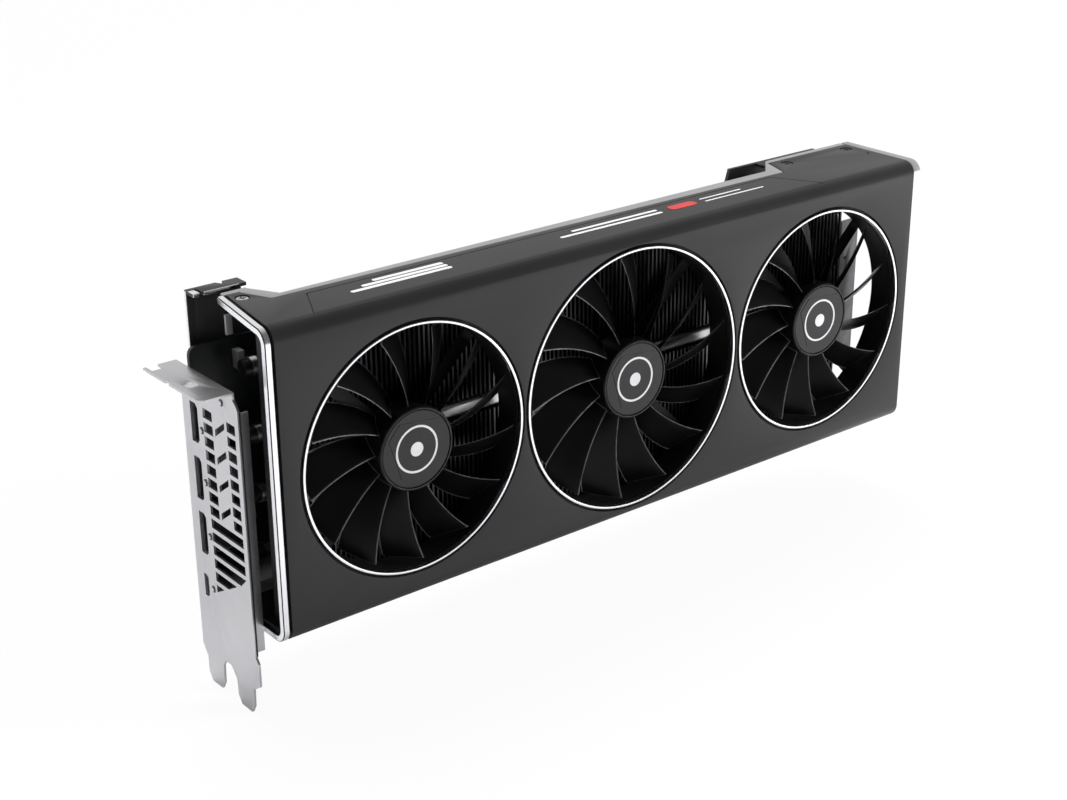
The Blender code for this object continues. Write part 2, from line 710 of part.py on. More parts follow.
def make_io_bracket(finish_material):
    inner = PLATE_X + PLATE_T
    front, back = PLATE_Y
    bm = bmesh.new()
    prism(bm, plate_outline(), "X", (PLATE_X, inner))
    bracket = finish("io_bracket", bm, finish_material)

    tab = bmesh.new()
    outer = inner - TAB_LENGTH - PLATE_T
    notch = (-107.8, -103.4)
    tab_outline = [(inner, front + 4.4), (inner, back + 3.6), (notch[1], back + 3.6),
                   (notch[1], back - 0.7), (notch[0], back - 0.7), (notch[0], back + 3.6),
                   (outer, back + 3.6), (outer, -7.4), (outer + 1.2, -8.2),
                   (outer + 1.2, -9.4), (outer, -10.2), (outer, front + 6.4),
                   (outer + 2.0, front + 4.4)]
    prism(tab, tab_outline, "Z", (PLATE_TOP - PLATE_T, PLATE_TOP))
    fuse(bracket, finish("guide_tab", tab))

    flange = bmesh.new()
    box(flange, (PLATE_X + 0.2, TRIM_X[0] - 0.4), (front + 1.6, front + 1.6 + PLATE_T),
        (8.6, 96.6))
    fuse(bracket, finish("guide_flange", flange))

    holes = bmesh.new()
    reach = (PLATE_X - SKIN, inner + SKIN)
    for z, height, width, _, _, chamfer in PORTS.values():
        y = (BOARD_FRONT - GAP - width, BOARD_FRONT - GAP)
        mouth = port_outline(y, (z - height / 2, z + height / 2), 0.2, chamfer)
        prism(holes, mouth, "X", reach)
    for cell in vent_cells():
        prism(holes, cell, "X", reach)
    for y, z in PORT_SCREWS:
        prism(holes, circle((y, z), 1.0, 8), "X", reach)
    prism(holes, rounded_rectangle((-106.0, -101.8), (-18.2, -13.2), 1.4, 2), "Z",
          (PLATE_TOP - PLATE_T - SKIN, PLATE_TOP + SKIN))
    cut(bracket, finish("cutter_bracket", holes))


# ---- back of the card ----------------------------------------------------------------
def make_backplate(finish_material):
    """Rear cover with raised ends, a window over the processor and a vent at the tail."""
    left, right = BACKPLATE_X
    left_top, right_top = 127.4, 123.9
    outline = [(left, BACKPLATE_BOTTOM), (right, BACKPLATE_BOTTOM), (right, right_top),
               (157.3, right_top), (154.3, BACKPLATE_TOP), (-70.5, BACKPLATE_TOP),
               (-72.5, left_top), (left, left_top)]
    bm = bmesh.new()
    prism(bm, outline, "Y", BACKPLATE_Y)
    plate = finish("backplate", bm, finish_material)

    lips = bmesh.new()
    fold = BACKPLATE_Y[1] - 0.4
    for x in ((left, left + 2.4), (left + 3.7, -72.5)):
        box(lips, x, (-0.8, fold), (left_top - 1.2, left_top))
    box(lips, (172.0, right), (-3.0, fold), (right_top - 1.2, right_top))
    fuse(plate, finish("guide_lips", lips))

    holes = bmesh.new()
    reach = (BACKPLATE_Y[0] - SKIN, BACKPLATE_Y[1] + SKIN)
    window = rounded_rectangle((GPU_X - 35, GPU_X + 35), (GPU_Z - 35, GPU_Z + 35), 6, 3)
    prism(holes, window, "Y", reach)
    prism(holes, rounded_rectangle((180.0, 203.5), (28.0, 110.0), 5, 3), "Y", reach)
    prism(holes, [(-81.4, 6.4), (-79.6, 3.0), (-77.8, 6.4)], "Z", (125, 129))
    cut(plate, finish("cutter_backplate", holes))


def spring_screw_places():
    for x in (-27.0, 27.0):
        for z in (-29.0, 29.0):
            yield GPU_X + x, GPU_Z + z


def make_retention_bracket(finish_material):
    """Sprung cross behind the processor that the four screws pull on."""
    arm, reach, core = 4.6, 34.0, 17.0
    tip = reach - arm * 1.4
    points = []
    for quarter in range(4):
        turn = quarter * math.pi / 2
        for u, v in ((tip, reach), (reach, tip), (core, 0)):
            points.append((u * math.cos(turn) + v * math.sin(turn),
                           v * math.cos(turn) - u * math.sin(turn)))
    bm = bmesh.new()
    prism(bm, [(GPU_X + u, GPU_Z + v) for u, v in points], "Y", (1.6, 2.8))
    bracket = finish("retention_bracket", bm, finish_material)
    holes = bmesh.new()
    for x, z in spring_screw_places():
        prism(holes, circle((x, z), 1.6 + GAP, 10), "Y", (0.6, 3.8))
    prism(holes, circle((GPU_X, GPU_Z), 8.0, 16), "Y", (0.6, 3.8))
    cut(bracket, finish("cutter_retention", holes))


def make_spring_screws(finish_material):
    profile = [(0, 5.2), (3.0, 5.2), (3.0, 3.1), (1.6, 3.1), (1.6, -4.4), (0, -4.4)]
    for number, (x, z) in enumerate(spring_screw_places(), 1):
        bm = bmesh.new()
        turned(bm, profile, 12, False)
        smooth(finish(f"spring_screw_{number}", bm, finish_material, (x, 0, z)))


def make_shroud_screws(finish_material):
    low = SHELL_Z[1] - FRAME_INSET + GAP
    for name, (x, y) in SHROUD_SCREWS.items():
        bm = bmesh.new()
        prism(bm, circle((x, y), SCREW_HEAD_R, 16), "Z", (low, SHELL_Z[1] - 0.2))
        smooth(finish("shroud_screw_" + name, bm, finish_material))


def main():
    clear_scene()
    shell = material("shell_black", (0.045, 0.045, 0.047), 0.42, 0.1)
    chrome = material("bright_trim", (0.85, 0.85, 0.86), 0.18, 1.0)
    frame = material("frame_grey", (0.07, 0.07, 0.075), 0.45, 0.3)
    blade = material("fan_black", (0.012, 0.012, 0.013), 0.28, 0.0)
    badge = material("badge_grey", (0.055, 0.055, 0.058), 0.38, 0.3)
    steel = material("steel", (0.62, 0.62, 0.63), 0.3, 1.0)
    copper = material("winding_copper", (0.7, 0.35, 0.16), 0.35, 1.0)
    magnet = material("magnet_grey", (0.08, 0.08, 0.085), 0.6, 0.4)
    fin = material("fin_black", (0.03, 0.03, 0.032), 0.45, 0.8)
    pipe = material("pipe_nickel", (0.72, 0.71, 0.68), 0.25, 1.0)
    board = material("board_black", (0.012, 0.014, 0.014), 0.4, 0.0)
    chip = material("chip_black", (0.02, 0.02, 0.02), 0.55, 0.0)
    die = material("die_grey", (0.3, 0.32, 0.36), 0.12, 0.6)
    pad = material("pad_grey", (0.42, 0.44, 0.47), 0.8, 0.0)
    plate = material("bracket_steel", (0.58, 0.58, 0.58), 0.4, 1.0)
    socket = material("socket_black", (0.015, 0.015, 0.015), 0.5, 0.0)
    cover = material("backplate_black", (0.03, 0.03, 0.032), 0.4, 0.6)

    make_shroud_shell(shell)
    make_shroud_end_trim(chrome)
    make_fan_frame(frame)
    fan_finishes = {"fan_badge_": badge, "fan_shaft_": steel, "fan_magnet_": magnet,
                    "fan_stator_": copper}
    for name, x, ring_r, tip_angle in fan_places():
        make_fan_ring(name, x, ring_r, chrome)
        make_fan_mount(name, x, ring_r, frame)
        make_fan_rotor(name, x, ring_r, tip_angle, blade)
        make_fan_parts(name, x, fan_finishes)
    make_fin_stack("fin_stack_left", FIN_LEFT_X, fin)
    make_fin_stack("fin_stack_right", FIN_RIGHT_X, fin)
    make_heat_pipes(pipe)
    make_cold_plate(pipe)
    make_cooler_end_bracket(steel)
    make_board(board)
    make_chips({"package": board, "die": die, "chip": chip, "pad": pad})
    make_io_bracket(plate)
    make_ports(steel)
    make_power_sockets(socket)
    make_backplate(cover)
    make_retention_bracket(steel)
    make_spring_screws(steel)
    make_shroud_screws(steel)


main()
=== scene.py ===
# %% [markdown]
# # A graphics card with three fans
# This lesson dresses the engineering model of a long graphics card: a black
# shroud with bright edges, three fans, black cooling fins, heat pipes, a slot
# bracket, a circuit board and a backplate.  The engineering model gives every
# place and size; the lesson adds the rounded edges, repeated details and
# surface finishes that the real pieces have.

# %% Load the engineering model
import math

import bmesh
import bpy
from mathutils import Matrix, Vector


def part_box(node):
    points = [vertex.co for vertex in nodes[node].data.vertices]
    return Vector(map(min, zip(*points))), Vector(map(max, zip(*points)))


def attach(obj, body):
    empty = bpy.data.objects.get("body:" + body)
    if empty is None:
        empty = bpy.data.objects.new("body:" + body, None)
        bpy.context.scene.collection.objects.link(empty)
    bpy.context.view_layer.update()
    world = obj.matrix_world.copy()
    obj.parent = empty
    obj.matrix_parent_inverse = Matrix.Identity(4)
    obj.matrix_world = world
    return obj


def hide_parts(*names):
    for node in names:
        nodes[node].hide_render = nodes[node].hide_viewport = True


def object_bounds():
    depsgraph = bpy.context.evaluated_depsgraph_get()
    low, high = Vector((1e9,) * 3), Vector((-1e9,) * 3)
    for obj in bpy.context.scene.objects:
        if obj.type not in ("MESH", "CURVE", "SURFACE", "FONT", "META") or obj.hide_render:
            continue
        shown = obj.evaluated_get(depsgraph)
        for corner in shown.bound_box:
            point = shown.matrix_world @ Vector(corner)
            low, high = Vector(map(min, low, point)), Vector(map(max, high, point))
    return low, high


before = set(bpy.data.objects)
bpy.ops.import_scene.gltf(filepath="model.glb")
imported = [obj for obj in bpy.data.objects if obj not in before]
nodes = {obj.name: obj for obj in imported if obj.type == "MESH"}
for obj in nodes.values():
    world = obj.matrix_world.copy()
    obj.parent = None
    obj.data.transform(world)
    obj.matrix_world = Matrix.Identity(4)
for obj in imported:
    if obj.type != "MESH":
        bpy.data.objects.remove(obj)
scene = bpy.context.scene
cad_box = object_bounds()
print("engineering box:", cad_box)

# %% [markdown]
# ## Working in millimetres
# Card makers draw in millimetres and Blender thinks in metres.  Sizes stay in
# millimetres in this lesson, and one factor turns them into metres where a
# point is made.

# %% Units and the boxes of the engineering pieces
MM = 0.001
BODY = "card"
FAN_NAMES = ("left", "middle", "right")
SIDES = ("left", "right")


def box_mm(node):
    """Lowest and highest corner of an engineering piece, in millimetres."""
    low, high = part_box(node)
    return low / MM, high / MM


def middle(low, high, axes="xz"):
    """The middle of a box, as seen along the axis that isn't named."""
    return tuple((getattr(low, axis) + getattr(high, axis)) / 2 for axis in axes)


def about(centre, reach):
    """The span that reaches equally far to both sides of a centre."""
    return (centre - reach, centre + reach)


shell_low, shell_high = box_mm("shroud_shell")
ring_boxes = {name: box_mm("fan_ring_" + name) for name in FAN_NAMES}
RING_W = 1.0
fans = {name: (*middle(low, high), (high.x - low.x) / 2 - RING_W / 2) for name, (low, high) in ring_boxes.items()}
FACE_Y = shell_low.y
print("fans (x, z, ring radius):", fans)

# %% [markdown]
# ## Small drawing tools
# Most pieces of sheet metal and moulded plastic are an outline pushed along an
# axis, or a profile turned round one.  Two helpers cover both.  Each closes its
# mesh and turns the faces outwards, so that later steps can trust it.

# %% Outlines
def arc(centre, radius, start, end, steps):
    """Points along an arc, angles in degrees."""
    turn = [math.radians(start + (end - start) * step / steps) for step in range(steps + 1)]
    return [(centre[0] + radius * math.cos(a), centre[1] + radius * math.sin(a)) for a in turn]


def circle(centre, radius, steps):
    return arc(centre, radius, 0, 360, steps)[:-1]


def rounded(u, v, radius, steps=5):
    """A rectangle with rounded corners."""
    corners = (((u[1] - radius, v[1] - radius), 0), ((u[0] + radius, v[1] - radius), 90),
               ((u[0] + radius, v[0] + radius), 180), ((u[1] - radius, v[0] + radius), 270))
    return [point for centre, start in corners for point in arc(centre, radius, start, start + 90, steps)]


def rectangle(u, v):
    return [(u[0], v[0]), (u[1], v[0]), (u[1], v[1]), (u[0], v[1])]


def stroke(points, width):
    """A line of the given width along an open run of points."""
    half = width / 2
    sides = ([], [])
    for i, point in enumerate(points):
        here = Vector(point)
        before = here - Vector(points[i - 1]) if i else None
        after = Vector(points[i + 1]) - here if i < len(points) - 1 else None
        ways = [way.normalized() for way in (before, after) if way is not None]
        way = sum(ways, Vector((0, 0))).normalized()
        across = Vector((-way.y, way.x))
        reach = half / max(0.3, across.dot(Vector((-ways[0].y, ways[0].x))))
        sides[0].append(tuple(here + across * reach))
        sides[1].append(tuple(here - across * reach))
    return sides[0] + sides[1][::-1]


# %% Solids
def prism(outline, axis, span, bm=None):
    """Push a closed outline along one axis, from span[0] to span[1], into bm or a new mesh."""
    bm = bmesh.new() if bm is None else bm
    order = {"X": (2, 0, 1), "Y": (0, 2, 1), "Z": (0, 1, 2)}[axis]
    ends = []
    for place in span:
        ends.append([bm.verts.new(Vector([(u, v, place)[i] for i in order]) * MM) for u, v in outline])
    faces = [bm.faces.new(ends[0]), bm.faces.new(ends[1][::-1])]
    for i in range(len(outline)):
        j = (i + 1) % len(outline)
        faces.append(bm.faces.new((ends[0][i], ends[1][i], ends[1][j], ends[0][j])))
    bmesh.ops.recalc_face_normals(bm, faces=faces)
    return bm


def turned(profile, steps, centre=(0, 0), axis="Y", closed=False, bm=None):
    """Turn (radius, depth) points round an axis; closed joins the last to the first."""
    bm = bmesh.new() if bm is None else bm

    def place(u, v, depth):
        u, v = centre[0] + u, centre[1] + v
        return Vector({"X": (depth, u, v), "Y": (u, depth, v), "Z": (u, v, depth)}[axis]) * MM

    rings = []
    for radius, depth in profile:
        outline = circle((0, 0), radius, steps) if radius else [(0, 0)]
        rings.append([bm.verts.new(place(u, v, depth)) for u, v in outline])
    pairs = list(zip(rings, rings[1:])) + ([(rings[-1], rings[0])] if closed else [])
    faces = []
    for near, far in pairs:
        for i in range(steps):
            j = (i + 1) % steps
            corners = [near[i % len(near)], near[j % len(near)], far[j % len(far)], far[i % len(far)]]
            faces.append(bm.faces.new(list(dict.fromkeys(corners))))
    bmesh.ops.recalc_face_normals(bm, faces=faces)
    return bm


# %% From mesh to named piece
def build(name, bm, finish=None):
    mesh = bpy.data.meshes.new(name)
    bm.to_mesh(mesh)
    bm.free()
    item = bpy.data.objects.new(name, mesh)
    scene.collection.objects.link(item)
    if finish:
        mesh.materials.append(finish)
    return item


def settle(item):
    """Keep what the modifiers make as a plain mesh."""
    bpy.context.view_layer.update()
    seen = item.evaluated_get(bpy.context.evaluated_depsgraph_get())
    mesh = bpy.data.meshes.new_from_object(seen)
    item.modifiers.clear()
    old = item.data
    item.data = mesh
    mesh.name = item.name
    bpy.data.meshes.remove(old)
    return item


def carve(item, bm, operation="DIFFERENCE"):
    """Cut a shape out of a piece, or join one on."""
    tool = build("tool", bm)
    modifier = item.modifiers.new("carve", "BOOLEAN")
    modifier.operation = operation
    modifier.solver = "EXACT"
    modifier.object = tool
    settle(item)
    bpy.data.objects.remove(tool, do_unlink=True)
    return item


def ease(item, width, segments=2, angle=35):
    """Round the sharp edges as a press or a mould does."""
    modifier = item.modifiers.new("ease", "BEVEL")
    modifier.width = width * MM
    modifier.segments = segments
    modifier.limit_method = "ANGLE"
    modifier.angle_limit = math.radians(angle)
    return settle(item)


def publish(item, replaced=(), body=BODY, smooth_angle=32):
    """Shade a finished piece smooth where asked, give it its body, and hide the engineering pieces it stands for.
    """
    if smooth_angle:
        item.data.shade_smooth()
        item.data.set_sharp_from_angle(angle=math.radians(smooth_angle))
    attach(item, body)
    if replaced:
        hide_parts(*replaced)
    faces = sum(len(p.vertices) - 2 for p in item.data.polygons)
    print(f"{item.name}: {faces} triangles on {body}")
    return item


def merged_copy(node, name, finish):
    """A copy of an engineering piece with its loose triangles joined into faces."""
    bm = bmesh.new()
    bm.from_mesh(nodes[node].data)
    bmesh.ops.remove_doubles(bm, verts=bm.verts, dist=0.004 * MM)
    bmesh.ops.dissolve_limit(bm, angle_limit=math.radians(1), verts=bm.verts, edges=bm.edges)
    return build(name, bm, finish)


# %% [markdown]
# ## Shared surface effects
# Real finishes differ by small things: the grain of a powder coat, the fine
# lines that brushing leaves, and a paler line along edges, which is partly
# handling wear and partly a painted highlight where a rounded edge catches light.
# Each effect is one shader group with named inputs, placed in every material
# that needs it with that material's own values.

# %% Tools for building node trees
def wire(tree, value, socket):
    """Give a socket a plain value, or a link where the value is another node's output."""
    if hasattr(value, "is_output"):
        tree.links.new(value, socket)
    else:
        socket.default_value = value


def add_node(tree, kind, numbered=None, **values):
    """Add a node; values are its settings and named inputs, numbered its inputs by place."""
    node = tree.nodes.new(kind)
    for key, value in values.items():
        label = key.replace("_", " ")
        if label in node.inputs.keys():
            wire(tree, value, node.inputs[label])
        else:
            setattr(node, key, value)
    for place, value in (numbered or {}).items():
        wire(tree, value, node.inputs[place])
    return node


def maths(tree, operation, first, second):
    return add_node(tree, "ShaderNodeMath", {0: first, 1: second}, operation=operation).outputs[0]


def noise(tree, vector, scale, detail):
    return add_node(tree, "ShaderNodeTexNoise", Vector=vector, Scale=scale, Detail=detail).outputs["Fac"]


def on_object(tree):
    return tree.nodes.new("ShaderNodeTexCoord").outputs["Object"]


def remap(tree, value, low, high, start=0.3, end=0.7):
    return add_node(tree, "ShaderNodeMapRange", clamp=True, Value=value, From_Min=start, From_Max=end,
                    To_Min=low, To_Max=high).outputs["Result"]


def new_group(name, inputs, outputs):
    """An empty shader group; all its inputs and outputs are plain numbers."""
    tree = bpy.data.node_groups.new(name, "ShaderNodeTree")
    for label, default in inputs.items():
        socket = tree.interface.new_socket(label, in_out="INPUT", socket_type="NodeSocketFloat")
        socket.default_value = default
    for label in outputs:
        tree.interface.new_socket(label, in_out="OUTPUT", socket_type="NodeSocketFloat")
    return tree, tree.nodes.new("NodeGroupInput").outputs, tree.nodes.new("NodeGroupOutput").inputs


# %% Powder grain: two sizes of noise, for height and for shade
grain_group, inlet, outlet = new_group("powder grain", {"Grain Size": 0.3, "Cloud Size": 30.0}, ("Height", "Shade"))
place = on_object(grain_group)
for label, size, detail in (("Height", "Grain Size", 2.0), ("Shade", "Cloud Size", 4.0)):
    scale = maths(grain_group, "DIVIDE", 1 / MM, inlet[size])
    wire(grain_group, noise(grain_group, place, scale, detail), outlet[label])

# %% Brushed lines: noise drawn out along one axis
brushed_group, inlet, outlet = new_group(
    "brushed lines", {"Line Width": 0.15, "Along X": 0.02, "Along Y": 1.0, "Along Z": 1.0}, ("Lines",))
stretch = add_node(brushed_group, "ShaderNodeCombineXYZ", **{axis: inlet["Along " + axis] for axis in "XYZ"})
drawn = add_node(brushed_group, "ShaderNodeVectorMath", {0: on_object(brushed_group), 1: stretch.outputs[0]},
                 operation="MULTIPLY")
scale = maths(brushed_group, "DIVIDE", 1 / MM, inlet["Line Width"])
wire(brushed_group, noise(brushed_group, drawn.outputs[0], scale, 3.0), outlet["Lines"])

# %% Edge wear and painted edge highlight: how far the surface turns within a small distance
def make_edge_wear_and_highlight_group():
    # The paler edge this gives is partly handling wear and partly a painted highlight.
    tree, inlet, outlet = new_group("edge wear", {"Reach": 0.35, "Amount": 1.0}, ("Edge",))
    bevel = add_node(tree, "ShaderNodeBevel", samples=4, Radius=maths(tree, "MULTIPLY", inlet["Reach"], MM))
    surface = add_node(tree, "ShaderNodeNewGeometry")
    turn = add_node(tree, "ShaderNodeVectorMath", {0: bevel.outputs["Normal"], 1: surface.outputs["Normal"]},
                    operation="DOT_PRODUCT")
    near = remap(tree, turn.outputs["Value"], 0.0, 1.0, 1.0, 0.8)
    broken = maths(tree, "MULTIPLY", near, noise(tree, on_object(tree), 260.0, 3.0))
    wire(tree, maths(tree, "MULTIPLY", broken, inlet["Amount"]), outlet["Edge"])
    return tree


edge_wear_and_highlight_group = make_edge_wear_and_highlight_group()
print("shader groups:", [g.name for g in bpy.data.node_groups])

# %% [markdown]
# ## One recipe, many finishes
# Powder coat, moulded plastic, brushed steel and plated copper share a recipe:
# two shades of one colour mixed by a slow noise, a roughness that wanders a
# little, a fine height for bump, and a paler edge that is partly wear and partly
# a painted highlight.  What makes them different is the numbers.  The shader
# itself stays in the material.

# %% The recipe
def colour_of(shade):
    """One number stands for a grey with a trace of blue; three numbers are a colour."""
    return (shade, shade, shade * 1.02, 1.0) if isinstance(shade, float) else (*shade, 1.0)


def mix_colour(tree, factor, first, second):
    return add_node(tree, "ShaderNodeMix", {0: factor, 6: first, 7: second}, data_type="RGBA").outputs[2]


def look(name, dark, light, roughness, metallic=0.0, grain=0.3, cloud=30.0, bump=0.1,
         lines=None, edge_wear_and_highlight_colour=None, edge_wear_and_highlight=0.0, shine=0.5):
    """A material from the shared recipe; lines is (width, x, y, z) for brushed metal."""
    made = bpy.data.materials.new(name)
    made.use_nodes = True
    tree = made.node_tree
    shader = tree.nodes["Principled BSDF"].inputs
    shader["Metallic"].default_value = metallic
    shader["Specular IOR Level"].default_value = shine
    powder = add_node(tree, "ShaderNodeGroup", node_tree=grain_group, Grain_Size=grain, Cloud_Size=cloud)
    height = powder.outputs["Height"]
    if lines:
        width, x, y, z = lines
        height = add_node(tree, "ShaderNodeGroup", node_tree=brushed_group, Line_Width=width, Along_X=x,
                          Along_Y=y, Along_Z=z).outputs["Lines"]
    colour = mix_colour(tree, remap(tree, powder.outputs["Shade"], 0.0, 1.0), colour_of(dark), colour_of(light))
    # A paler colour along edges: partly wear, partly a painted highlight.
    if edge_wear_and_highlight:
        edge = add_node(tree, "ShaderNodeGroup", node_tree=edge_wear_and_highlight_group, Amount=edge_wear_and_highlight)
        colour = mix_colour(tree, edge.outputs["Edge"], colour, colour_of(edge_wear_and_highlight_colour))
    relief = add_node(tree, "ShaderNodeBump", Strength=bump, Distance=0.05 * MM, Height=height)
    wire(tree, colour, shader["Base Color"])
    wire(tree, remap(tree, height, *roughness), shader["Roughness"])
    wire(tree, relief.outputs["Normal"], shader["Normal"])
    return made


# %% The finishes of this card: two shades, roughness, metal, grain and cloud size, bump
shroud_black = look("shroud powder coat", 0.017, 0.022, (0.38, 0.48), 0.0, 0.22, 60, 0.35,
                    edge_wear_and_highlight_colour=0.05, edge_wear_and_highlight=0.6, shine=0.32)
trim_bright = look("bright cut aluminium", 0.90, 0.95, (0.16, 0.28), 1.0, bump=0.05,
                   lines=(0.12, 1.0, 0.03, 0.03))
ring_bright = look("turned ring aluminium", 0.92, 0.96, (0.14, 0.24), 1.0, 0.4, 12, 0.03)
rim_grey = look("rolled aluminium edge", 0.36, 0.42, (0.5, 0.6), 0.4, lines=(0.14, 0.02, 1.0, 1.0))
deck_black = look("moulded frame plastic", 0.006, 0.009, (0.45, 0.55), 0.0, 0.35, 25, 0.2, shine=0.25)
# The blades' pale edge is a painted highlight along their rounded front edges.
fan_black = look("fan blade plastic", 0.003, 0.005, (0.3, 0.38), 0.0, 0.5, 18, 0.05,
                 edge_wear_and_highlight_colour=0.34, edge_wear_and_highlight=1.2, shine=0.14)
badge_grey = look("hub cap lacquer", 0.020, 0.025, (0.34, 0.44), 0.1, 0.18, 9, 0.15,
                  edge_wear_and_highlight_colour=0.12, edge_wear_and_highlight=0.7, shine=0.3)
emblem_white = look("printed pale grey", 0.62, 0.70, (0.4, 0.5), 0.0, 0.2, 6)
print_white = look("printed white", 0.78, 0.85, (0.4, 0.5), 0.0, 0.2, 8, 0.08)
print_red = look("printed red", (0.55, 0.012, 0.014), (0.68, 0.018, 0.018), (0.35, 0.45),
                 0.0, 0.2, 5, 0.08)
fin_black = look("blackened fins", 0.008, 0.013, (0.4, 0.5), 0.5, 0.5, 14, 0.08, shine=0.3)
# Paler metal on the fin folds paints the highlight they catch; the fins themselves are black.
fin_fold_highlight = look("folded fin edges", 0.12, 0.20, (0.34, 0.46), 0.9, 0.5, 14, 0.08)
dark_pipe = look("blackened pipe", 0.018, 0.026, (0.26, 0.36), 0.5, 0.4, 10, 0.08)
pipe_nickel = look("nickel plated copper", (0.76, 0.75, 0.72), (0.84, 0.83, 0.80), (0.34, 0.44), 1.0,
                   bump=0.06, lines=(0.1, 0.02, 1.0, 1.0))
strip_grey = look("galvanised strip", 0.13, 0.18, (0.4, 0.5), 0.8, 0.8, 4, 0.12)
steel = look("bright steel", 0.56, 0.64, (0.24, 0.34), 1.0, 0.3, 5, 0.06, edge_wear_and_highlight_colour=0.8, edge_wear_and_highlight=0.5)
bracket_steel = look("plated bracket steel", 0.60, 0.66, (0.36, 0.46), 1.0, 0.25, 22, 0.18,
                     edge_wear_and_highlight_colour=0.85, edge_wear_and_highlight=0.5)
port_steel = look("drawn port shell", 0.07, 0.10, (0.36, 0.46), 0.8, 0.25, 6, 0.08)
magnet_grey = look("sintered magnet", 0.05, 0.08, (0.55, 0.65), 0.3, 0.3, 4, 0.2)
winding_copper = look("enamelled copper", (0.50, 0.22, 0.09), (0.62, 0.29, 0.12), (0.25, 0.4), 1.0,
                      bump=0.5, lines=(0.35, 1.0, 1.0, 0.1))
board_black = look("solder mask", (0.006, 0.008, 0.008), (0.011, 0.014, 0.013), (0.28, 0.4), bump=0.3,
                   lines=(0.5, 0.04, 1.0, 1.0))
chip_black = look("chip resin", 0.016, 0.022, (0.5, 0.62), 0.0, 0.15, 5, 0.25)
die_grey = look("polished silicon", (0.22, 0.24, 0.29), (0.26, 0.28, 0.33), (0.08, 0.14),
                0.7, 0.5, 6, 0.02)
pad_grey = look("soft thermal pad", (0.36, 0.39, 0.43), (0.42, 0.45, 0.49), (0.75, 0.9),
                0.0, 0.4, 3, 0.5)
socket_black = look("socket nylon", 0.012, 0.018, (0.42, 0.54), 0.0, 0.2, 6, 0.25)
cover_black = look("backplate anodising", 0.045, 0.055, (0.38, 0.48), 0.6, 0.2, 40, 0.2,
                   edge_wear_and_highlight_colour=0.35, edge_wear_and_highlight=0.6)
gold = look("contact gold", (0.78, 0.52, 0.18), (0.86, 0.60, 0.24), (0.2, 0.3), 1.0, 0.3, 3, 0.04)
choke_grey = look("pressed ferrite", 0.07, 0.10, (0.5, 0.62), 0.1, 0.2, 3, 0.3)
can_silver = look("capacitor can", 0.60, 0.68, (0.26, 0.36), 1.0, 0.3, 4, 0.06)
print("finishes:", len(bpy.data.materials))

# %% [markdown]
# ## Copies on places
# A row of fins, a ring of blades and a line of contacts are one shape set down
# many times.  A modelled copy of each would be slow to change, so Geometry
# Nodes put one pattern on given places.  Two trees do all of it: one works
# along a line, the other round an axis.

# %% Geometry Nodes trees
def new_copier(name, **inputs):
    tree = bpy.data.node_groups.new(name, "GeometryNodeTree")
    for label, kind in inputs.items():
        tree.interface.new_socket(label, in_out="INPUT", socket_type="NodeSocket" + kind)
    tree.interface.new_socket("Copies", in_out="OUTPUT", socket_type="NodeSocketGeometry")
    return tree, tree.nodes.new("NodeGroupInput").outputs, tree.nodes.new("NodeGroupOutput").inputs


def end_copier(tree, inlet, outlet, points, turn=(0.0, 0.0, 0.0)):
    """Set the pattern on the points, make real geometry of it and give it its finish."""
    pattern = add_node(tree, "GeometryNodeObjectInfo", Object=inlet["Pattern"])
    placed = add_node(tree, "GeometryNodeInstanceOnPoints", Points=points, Rotation=turn,
                      Instance=pattern.outputs["Geometry"])
    real = add_node(tree, "GeometryNodeRealizeInstances", Geometry=placed.outputs["Instances"])
    painted = add_node(tree, "GeometryNodeSetMaterial", Geometry=real.outputs["Geometry"],
                       Material=inlet["Finish"])
    wire(tree, painted.outputs["Geometry"], outlet["Copies"])
    return tree


def make_line_copier():
    tree, inlet, outlet = new_copier("copies along a line", Pattern="Object", Count="Int", Start="Vector",
                                     Step="Vector", Finish="Material")
    line = add_node(tree, "GeometryNodeMeshLine", Count=inlet["Count"], Start_Location=inlet["Start"],
                    Offset=inlet["Step"])
    return end_copier(tree, inlet, outlet, line.outputs["Mesh"])


def make_round_copier():
    tree, inlet, outlet = new_copier("copies round an axis", Pattern="Object", Count="Int", Centre="Vector",
                                     Finish="Material")
    points = add_node(tree, "GeometryNodePoints", Count=inlet["Count"], Position=inlet["Centre"])
    index = tree.nodes.new("GeometryNodeInputIndex")
    share = maths(tree, "DIVIDE", index.outputs[0], inlet["Count"])
    turn = add_node(tree, "ShaderNodeCombineXYZ", Y=maths(tree, "MULTIPLY", share, math.tau))
    return end_copier(tree, inlet, outlet, points.outputs[0], turn.outputs[0])


line_copier = make_line_copier()
round_copier = make_round_copier()


# %% Run a tree and keep the plain mesh
def copied(name, copier, pattern_bm, finish, **values):
    pattern = build("pattern", pattern_bm)
    host = bpy.data.objects.new(name, bpy.data.meshes.new(name))
    scene.collection.objects.link(host)
    modifier = host.modifiers.new("copies", "NODES")
    modifier.node_group = copier
    sockets = {s.name: s.identifier for s in copier.interface.items_tree if s.in_out == "INPUT"}
    for label, value in {"Pattern": pattern, "Finish": finish, **values}.items():
        modifier[sockets[label]] = value
    settle(host)
    bpy.data.objects.remove(pattern, do_unlink=True)
    return host


